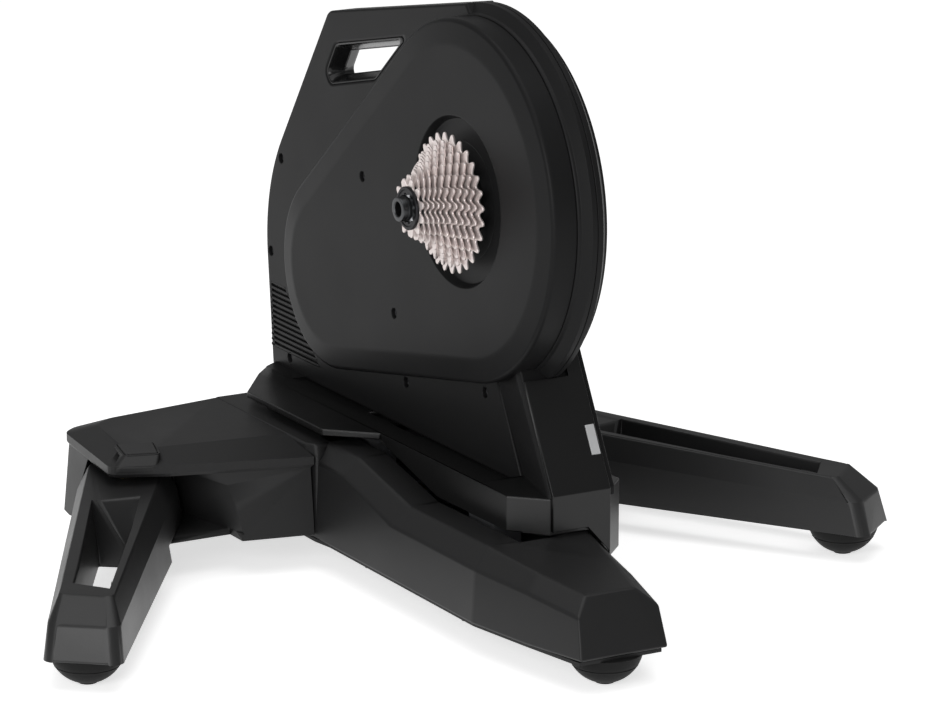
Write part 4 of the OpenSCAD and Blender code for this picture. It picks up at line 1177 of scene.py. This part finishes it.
def make_world(strength):
    """Even grey light, with a white background for the eye."""
    world = bpy.data.worlds.new("studio")
    world.use_nodes = True
    tree = world.node_tree
    tree.nodes.clear()
    mix = tree.nodes.new("ShaderNodeMixShader")
    path = tree.nodes.new("ShaderNodeLightPath")
    tree.links.new(path.outputs["Is Camera Ray"], mix.inputs["Fac"])
    for place, power in ((1, strength), (2, 1.0)):
        light = tree.nodes.new("ShaderNodeBackground")
        light.inputs["Color"].default_value = (1, 1, 1, 1)
        light.inputs["Strength"].default_value = power
        tree.links.new(light.outputs[0], mix.inputs[place])
    out = tree.nodes.new("ShaderNodeOutputWorld")
    tree.links.new(mix.outputs[0], out.inputs["Surface"])
    bpy.context.scene.world = world


def make_floor():
    """Pale floor that keeps the shadow and reads as white beyond it."""
    made = Finish("floor")
    tree = made.tree
    tree.nodes.remove(made.shader)
    diffuse = made.node("ShaderNodeBsdfDiffuse")
    diffuse.inputs["Color"].default_value = (*colours().floor, 1)
    glow = made.node("ShaderNodeEmission", {"Strength": FLOOR_GLOW})
    add = made.node("ShaderNodeAddShader")
    mix = made.node("ShaderNodeMixShader", {"Fac": seen_by_eye(tree)})
    tree.links.new(diffuse.outputs[0], add.inputs[0])
    tree.links.new(glow.outputs[0], add.inputs[1])
    tree.links.new(diffuse.outputs[0], mix.inputs[1])
    tree.links.new(add.outputs[0], mix.inputs[2])
    tree.links.new(mix.outputs[0], tree.nodes["Material Output"].inputs["Surface"])
    skin = Skin()
    half = FLOOR_HALF
    low = cad_box[0].z
    corners = ((-half, -half), (half, -half), (half, half), (-half, half))
    skin.mesh.faces.new(skin.ring([(x, y, low) for x, y in corners]))
    floor = skin.piece("floor")
    floor.data.materials.append(made.material)


class TRAINER_OT_stage(bpy.types.Operator):
    """Makes the camera, the lamps, the world and the floor"""

    bl_idname = "trainer.stage"
    bl_label = "Stage"

    def execute(self, context):
        make_camera()
        make_world(WORLD_LIGHT)
        for name, place, size, power in LAMPS:
            make_lamp(name, place, STAGE_CENTRE, size, power)
        make_floor()
        context.scene.view_settings.view_transform = "Standard"
        return {"FINISHED"}


class TRAINER_OT_finishes(bpy.types.Operator):
    """Gives every node of the frame the material of its slot"""

    bl_idname = "trainer.finishes"
    bl_label = "Finishes"

    def execute(self, context):
        slots = node_slots()
        for name in slots:
            frame["nodes"][name].data.materials.clear()
        # The frame's plain materials hold the names that the finishes need
        for slot in sorted(set(slots.values())):
            bpy.data.materials.remove(bpy.data.materials[slot])
        made = make_finishes()
        for name, slot in slots.items():
            frame["nodes"][name].data.materials.append(made[slot])
        return {"FINISHED"}


class TRAINER_OT_shells(bpy.types.Operator):
    """Makes the two halves of the body with the drum's rim, the handle and the column"""

    bl_idname = "trainer.shells"
    bl_label = "Body shells"

    def execute(self, context):
        for name, far, radius, flare, step in (
            ("right_shell", False, COVER_R - 9, 1, 3.5), ("left_shell", True, FAR_COVER_R - 9, 7, 0.2),
        ):
            parts = [body_half(), rim_half(radius), column_half(flare, step)]
            if far:
                parts = [part.mirror(SEAM_X) for part in parts]
            plate, rim, column = (part.piece(f"{name}_{i}", 30) for i, part in enumerate(parts))
            made = join(plate, rim, rounded_edges(column, COLUMN_RADIUS, 12))
            made.name = f"{name}_skin"
            dress(smooth(made, 30), "carriage", "shell_plastic", name)
        return {"FINISHED"}


class TRAINER_OT_vents(bpy.types.Operator):
    """Makes the slats of the vents on both sides"""

    bl_idname = "trainer.vents"
    bl_label = "Vent slats"

    def execute(self, context):
        slats = slat_pattern()
        for side, plane in SIDES:
            shape = slat_shape(plane)
            face = SEAM_X + plane * (PLATE_HALF - VENT_DEPTH / 2)
            made = slats.run(
                empty_piece(f"vent_slats_{side}"), Shape=shape, Count=VENT_COUNT + 1,
                Start=spot(face, VENT_REAR - 6, VENT_LOW + 0.15), Step=(0, 0, VENT_STEP * MM),
                Length=(VENT_FRONT - VENT_REAR + 6) * MM, Loss=VENT_SLANT * MM,
                Material=finish_of("shell_plastic"),
            )
            drop(shape)
            dress(smooth(made, 40), "carriage", "shell_plastic")
        return {"FINISHED"}


class TRAINER_OT_covers(bpy.types.Operator):
    """Makes the drive cover with its recess and the cover on the far side"""

    bl_idname = "trainer.covers"
    bl_label = "Covers"

    def execute(self, context):
        drive = cover_half(COVER_R, True).piece("drive_cover_skin", 30)
        dress(drive, "carriage", "cover_plastic", "drive_cover")
        far = cover_half(FAR_COVER_R, False).mirror(SEAM_X).piece("left_cover_skin", 30)
        dress(far, "carriage", "cover_plastic", "left_cover")
        return {"FINISHED"}


class TRAINER_OT_handle(bpy.types.Operator):
    """Makes the sleeve through the carry handle"""

    bl_idname = "trainer.handle"
    bl_label = "Carry handle"

    def execute(self, context):
        skin = Skin()
        lip = PLATE_HALF - 1.2
        wall = 2.2
        half = [(0.25, wall + 0.7), (0.5, wall + 0.1), (lip - 3, wall + 0.2)]
        half += [(lip, wall), (lip + 0.4, 1.6), (lip + 0.4, 0.9), (lip, 0.4)]
        steps = [(-x, d) for x, d in reversed(half)] + half
        rows = [skin.ring(across(SEAM_X + x, handle_loop(SEAM_X + x, d))) for x, d in steps]
        for low, high in zip(rows, rows[1:] + rows[:1]):
            skin.wall(high, low)
        bmesh.ops.recalc_face_normals(skin.mesh, faces=skin.mesh.faces)
        dress(skin.piece("handle_sleeve", 40), "carriage", "liner_plastic", "handle_liner")
        return {"FINISHED"}


def lock_notch(face, outer):
    """One share of the lock ring: its knurled rim and one spline of its bore."""
    step = math.tau / LOCK_NOTCHES
    bore = [(LOCK_BORE_R + (1.2 if share in (0.3, 0.7) else 0), step * share) for share in LOCK_SHARES]
    back = face - LOCK_DEPTH
    neck = LOCK_BORE_R + 1.6
    profile = (
        (face - 0.8, 15.2), (face - 0.1, 15.9), (face - 0.1, outer - 0.7), (face - 0.7, outer),
        (face - 2.6, outer), (face - 2.6, neck), (back, neck),
    )
    rows = [(x, bore) for x in (back, face - 2.6, face - 0.8)]
    rows += [(x, [(r, step * share) for share in LOCK_SHARES]) for x, r in profile]
    return ring_share("lock_share", rows)


class TRAINER_OT_cassette(bpy.types.Operator):
    """Makes the sprockets, the spacers between them and the lock ring"""

    bl_idname = "trainer.cassette"
    bl_label = "Cassette"

    def execute(self, context):
        rings = round_pattern()
        made = [sprocket(i, rings) for i in range(len(TEETH))]
        for name, first, last in (("large", 0, 4), ("middle", 4, 8), ("small", 8, len(TEETH))):
            group = join(*made[first:last])
            group.name = f"cassette_{name}"
            dress(smooth(group, 25), "cassette", "nickel", f"sprockets_{name}")
        profile = []
        for i in range(len(TEETH) - 1):
            x = FIRST_X + i * SPROCKET_PITCH + SPROCKET_T / 2
            gap = SPROCKET_PITCH - SPROCKET_T
            profile += [(x, FREEHUB_R + 2.2), (x + 0.2, FREEHUB_R + 2.5), (x + gap - 0.2, FREEHUB_R + 2.5)]
            profile += [(x + gap, FREEHUB_R + 2.2)]
        profile += [(profile[-1][0], FREEHUB_R - 0.5), (profile[0][0], FREEHUB_R - 0.5)]
        axle = (0, AXLE_Z)
        dress(lathe("spacer_stack", profile, axle), "cassette", "black_alloy", "sprocket_spacers")
        low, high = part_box("lock_ring")
        outer = (high.z - low.z) / 2 / MM
        face = high.x / MM
        notch = lock_notch(face, outer)
        ring = rings.run(
            empty_piece("lock_ring_face"), Shape=notch, Count=LOCK_NOTCHES, Centre=spot(0, 0, AXLE_Z),
            Material=finish_of("black_alloy"),
        )
        drop(notch)
        dress(smooth(ring, 30), "cassette", "black_alloy", "lock_ring")
        return {"FINISHED"}


class TRAINER_OT_axle_ends(bpy.types.Operator):
    """Makes the end caps that the bike's frame drops onto"""

    bl_idname = "trainer.axle_ends"
    bl_label = "Axle ends"

    def execute(self, context):
        axle = (0, AXLE_Z)
        for side, sign in SIDES:
            low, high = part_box(f"end_cap_{side}")
            outer = (high.z - low.z) / 2 / MM
            face, back = (high.x / MM, low.x / MM) if sign > 0 else (low.x / MM, high.x / MM)
            depths = [(0.8, AXLE_BORE_R), (0, AXLE_BORE_R + 0.8), (0, outer - 1.0), (0.3, outer - 0.3)]
            depths += [(1.0, outer), (4.6, outer), (4.9, outer - 0.4), (5.5, outer - 0.4), (5.8, outer)]
            profile = [(back, AXLE_BORE_R), *((face - sign * down, r) for down, r in depths), (back, outer)]
            dress(lathe(f"axle_end_{side}", profile, axle), "carriage", "cap_alloy", f"end_cap_{side}")
        return {"FINISHED"}


def ball_foot(name, centre, top):
    """Ball cut flat at its top, with a parting line and a worn flat below."""
    skin = Skin()
    profile = [(3, 0.0), (8, 0.02)]
    for i in range(4, 40):
        a = math.radians(-90 + 3 * i)
        z = FOOT_R + FOOT_R * math.sin(a)
        r = FOOT_R * math.cos(a)
        if 0.2 < z < top - 0.5:
            profile.append((r, z))
    profile.append((math.sqrt(max(1, FOOT_R**2 - (top - FOOT_R) ** 2)), top))
    seam_at = min(range(len(profile)), key=lambda i: abs(profile[i][1] - top * 0.62))
    r, z = profile[seam_at]
    groove = r - 0.55
    profile[seam_at:seam_at + 1] = [(r - 0.1, z - 0.5), (groove, z - 0.15), (groove, z + 0.15), (r, z + 0.5)]
    rows = [skin.ring([spot(p.x, p.y, z) for p in circle(Vector(centre), r, 96)]) for r, z in profile]
    for low, high in zip(rows, rows[1:]):
        skin.wall(low, high)
    skin.lid(Vector((0, 0, -1)), rows[0])
    skin.lid(Vector((0, 0, 1)), rows[-1])
    return skin.piece(name, 40)


class TRAINER_OT_feet(bpy.types.Operator):
    """Makes the ball feet with their parting lines"""

    bl_idname = "trainer.feet"
    bl_label = "Feet"

    def execute(self, context):
        for node, body in (
            ("leg_foot_right", "leg_right"), ("leg_foot_left", "leg_left"), ("front_foot", "base"),
            ("rear_feet", "base"),
        ):
            low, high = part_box(node)
            top = high.z / MM
            y = ((low.y + high.y) / 2 - AXLE.y) / MM
            balls = [(low.x + high.x) / 2 / MM]
            radius = (high.y - low.y) / 2 / MM
            if node == "rear_feet":
                balls = [low.x / MM + radius, high.x / MM - radius]
            foot = join(*[ball_foot(f"{node}_{i}", (x, y), top) for i, x in enumerate(balls)])
            foot.name = f"{node}_ball"
            dress(smooth(foot, 30), body, "foot_rubber", node)
        return {"FINISHED"}


class TRAINER_OT_screws(bpy.types.Operator):
    """Puts the socket head screws into their wells"""

    bl_idname = "trainer.screws"
    bl_label = "Screws"

    def execute(self, context):
        places = place_pattern()
        head = screw_head("screw_shape", SCREW_R)
        for name, x, points, node in (
            ("plate_screws", PLATE_X - PLATE_SCREW_SINK, PLATE_SCREWS, "shell_screws"),
            ("cover_face_screws", COVER_FACE_X - COVER_SCREW_SINK, COVER_SCREWS, "cover_screws"),
        ):
            holder = empty_piece(name, [spot(x, *p) for p in points])
            made = places.run(holder, Shape=head, Material=finish_of("screw_steel"))
            dress(smooth(made, 30), "carriage", "screw_steel", node)
        drop(head)
        return {"FINISHED"}


def solid(name, rings, radius=0.0, sharp=10, far=False):
    """Closed shape through rings of places, with its edges rounded."""
    skin = Skin()
    rows = skin.walls([[spot(*p) for p in ring] for ring in rings])
    for row in (rows[0], rows[-1]):
        skin.mesh.faces.new(row)
    if far:
        skin.mirror(0)
    bmesh.ops.recalc_face_normals(skin.mesh, faces=skin.mesh.faces)
    made = skin.piece(name)
    return rounded_edges(made, radius, sharp) if radius else made


def brick(name, low, high, far=False):
    """Box between two corners."""
    plan = ((low[0], low[1]), (high[0], low[1]), (high[0], high[1]), (low[0], high[1]))
    return solid(name, [[(x, y, z) for x, y in plan] for z in (low[2], high[2])], far=far)


def cut(piece, *cutters):
    """Takes shapes out of a piece."""
    for cutter in cutters:
        tool = piece.modifiers.new("cut", "BOOLEAN")
        tool.object = cutter
        tool.operation = "DIFFERENCE"
        tool.solver = "EXACT"
    return baked(piece)


def at_height(z, plan):
    """Plan in x and y turned into places at height z."""
    return [(p[0], p[1], z) for p in plan]


def tab_loop(d):
    """Outline of the leg catch's tab, smaller by d."""
    return inset([Vector(p) for p in TAB_PLAN], d)


def wing(name, far):
    """Wing with its overhanging rim, the catch's nose and the bay that the leg swings in."""
    soft = sizes().edge_radius
    plans = (
        (WING_LOW, WING_FOOT, 0), (WING_RIM, WING_BELT, 2), (WING_RIM + 3, WING_BELT, 0),
        (WING_RIM + 10, WING_BELT, 0), (DECK_Z, WING_DECK, 0),
    )
    rings = [at_height(z, inset(rounded(plan, count=4), d)) for z, plan, d in plans]
    body = solid(name, rings, soft, far=far)
    top = [(p.x, p.y, 4) for p in tab_loop(-2.5)]
    heights = (
        (WING_RIM + 5, NOSE_FOOT), (WING_RIM + 9, NOSE_FOOT), (DECK_Z - 0.8, top), (DECK_Z + 0.1, top),
    )
    rings = [at_height(z, rounded(plan, count=4)) for z, plan in heights]
    nose = solid(f"{name}_nose", rings, NOSE_RADIUS, far=far)
    y = (HINGE.y - AXLE.y) / MM
    floor = WING_LOW + 6
    profile = [(floor, 0.01), (floor, 52), (WING_LOW + 36, 46), (WING_RIM, 35.3), (WING_RIM, 0.01)]
    x = HINGE.x / MM * (-1 if far else 1)
    bay = lathe("bay", profile, (x, y), 64, upright=True)
    past_x, past_y = 300, -100
    swing = []
    for z, a, b in ((floor, 128, 146), (WING_RIM - 11, 139, 157), (WING_RIM, 150, 160)):
        plan = [(b, y), (past_x, y), (past_x, past_y), (a, past_y), (a, -158)]
        swing.append(at_height(z, plan))
    way = solid("way", swing, far=far)
    far_corner = (past_x, past_y, WING_LOW + 7)
    near_corners = ((130, -178, WING_LOW - 5), (228, -300, WING_LOW - 5))
    steps = [brick("step", corner, far_corner, far) for corner in near_corners]
    pocket = solid("pocket", [at_height(z, tab_loop(-0.6)) for z in (WING_RIM + 8, DECK_Z + 20)], far=far)
    cut(body, bay, way, *steps, pocket)
    cut(nose, pocket)
    drop(bay, way, *steps, pocket)
    return join(body, nose)


def beam_rings(wall, low):
    """Sections of the beam, smaller by its wall."""
    rings = []
    for (top, y0, z0), (side, y1, z1), (foot, y2, rise) in BEAM:
        half = [(top - wall, y0, z0 - wall), (side - wall, y1, z1), (foot - wall, y2, low + rise)]
        rings.append([(-x, y, z) for x, y, z in reversed(half)] + half)
    return rings


def beam():
    """Centre beam and the hub that the wings meet, hollow and slotted below the saddle."""
    soft = sizes().edge_radius
    made = solid("base_beam_skin", beam_rings(0, BEAM_LOW), soft, sharp=6)
    rings = []
    for z, side, front, nose in (
        (BEAM_LOW, -151, -139, 64), (DECK_Z - 9, -160, -141, 64), (DECK_Z, -160, -150, 60),
    ):
        half = [(HUB_HALF, -335, z), (HUB_HALF, side, z), (nose, front, z)]
        rings.append(half + [(-x, y, z) for x, y, z in reversed(half)])
    hub = solid("hub", rings, soft)
    below = BEAM_LOW - 1
    rings = [[(x, y - BEAM_WALL, z) for x, y, z in ring] for ring in beam_rings(BEAM_WALL, below)]
    inner = solid("inner", rings)
    room_half = HUB_HALF - BEAM_WALL
    room = brick("room", (-room_half, -331, below), (room_half, -160, DECK_Z - BEAM_WALL))
    slot = brick("slot", (-19, -300, 58), (19, 136, DECK_Z + 1))
    for piece in (made, hub):
        cut(piece, inner, room, slot)
    drop(inner, room, slot)
    return join(made, hub)


def saddle_dish():
    """Rear part of the saddle's dished top, which fills the room below the body on each side."""
    made = []
    low, edge, top = SADDLE_DISH_Z
    for side, sign in SIDES:
        rings = []
        for y_in, slant in ((SADDLE_DISH_FROM, SADDLE_DISH_SLANT), (SADDLE_DISH_TO, 0)):
            y_out = y_in + slant
            ring = [(0, y_in, low), (14, y_in, low), (30, y_out, edge), (30, y_out, top), (0, y_in, top)]
            rings.append([(SEAM_X + sign * x, y, z) for x, y, z in ring])
        made.append(solid(f"dish_{side}", rings))
    return made


class TRAINER_OT_base(bpy.types.Operator):
    """Makes the beam and the wings, and rounds the edges of the legs, the saddle and the front panel"""

    bl_idname = "trainer.base"
    bl_label = "Base and legs"

    def execute(self, context):
        soft = sizes().edge_radius
        fine = sizes().fine_radius
        dress(beam(), "base", "base_plastic", "base_beam")
        for side, sign in SIDES:
            dress(wing(f"wing_{side}_skin", sign < 0), "base", "base_plastic", f"wing_{side}")
        for node, body, slot, radius in (
            ("leg_right", "leg_right", "leg_paint", soft), ("leg_left", "leg_left", "leg_paint", soft),
            ("saddle", "carriage", "saddle_paint", soft * 0.5),
            ("front_panel", "carriage", "cover_plastic", PANEL_RADIUS),
            ("latch_right", "latch_right", "latch_plastic", fine),
            ("latch_left", "latch_left", "latch_plastic", fine),
            ("status_window", "carriage", "window_plastic", WINDOW_RADIUS),
        ):
            made = softened(node, f"{node}_soft", radius)
            if node == "saddle":
                made = join(made, *saddle_dish())
            dress(made, body, slot, node, finish="panel_plastic" if node == "front_panel" else slot)
        return {"FINISHED"}


PIECES = (
    TRAINER_OT_stage, TRAINER_OT_finishes, TRAINER_OT_shells, TRAINER_OT_vents, TRAINER_OT_covers,
    TRAINER_OT_handle, TRAINER_OT_cassette, TRAINER_OT_axle_ends, TRAINER_OT_feet, TRAINER_OT_screws,
    TRAINER_OT_base,
)


class TRAINER_PT_panel(bpy.types.Panel):
    """Lists the trainer's sizes, colours and pieces"""

    bl_label = "Smart bike trainer"
    bl_idname = "TRAINER_PT_panel"
    bl_space_type = "VIEW_3D"
    bl_region_type = "UI"
    bl_category = "Trainer"

    def draw(self, context):
        for group in (context.scene.trainer_sizes, context.scene.trainer_colours):
            column = self.layout.column()
            for name in group.__annotations__:
                column.prop(group, name)
        for piece in PIECES:
            self.layout.operator(piece.bl_idname)


CLASSES = (TrainerSizes, TrainerColours, *PIECES, TRAINER_PT_panel)


def register():
    """Adds the classes and their settings."""
    for made in CLASSES:
        bpy.utils.register_class(made)
    bpy.types.Scene.trainer_sizes = PointerProperty(type=TrainerSizes)
    bpy.types.Scene.trainer_colours = PointerProperty(type=TrainerColours)


def unregister():
    """Takes the classes and their settings away."""
    del bpy.types.Scene.trainer_sizes
    del bpy.types.Scene.trainer_colours
    for made in reversed(CLASSES):
        bpy.utils.unregister_class(made)


def main():
    """Builds the trainer."""
    register()
    for piece in PIECES:
        group, name = piece.bl_idname.split(".")
        getattr(getattr(bpy.ops, group), name)()


if __name__ == "__main__":
    main()
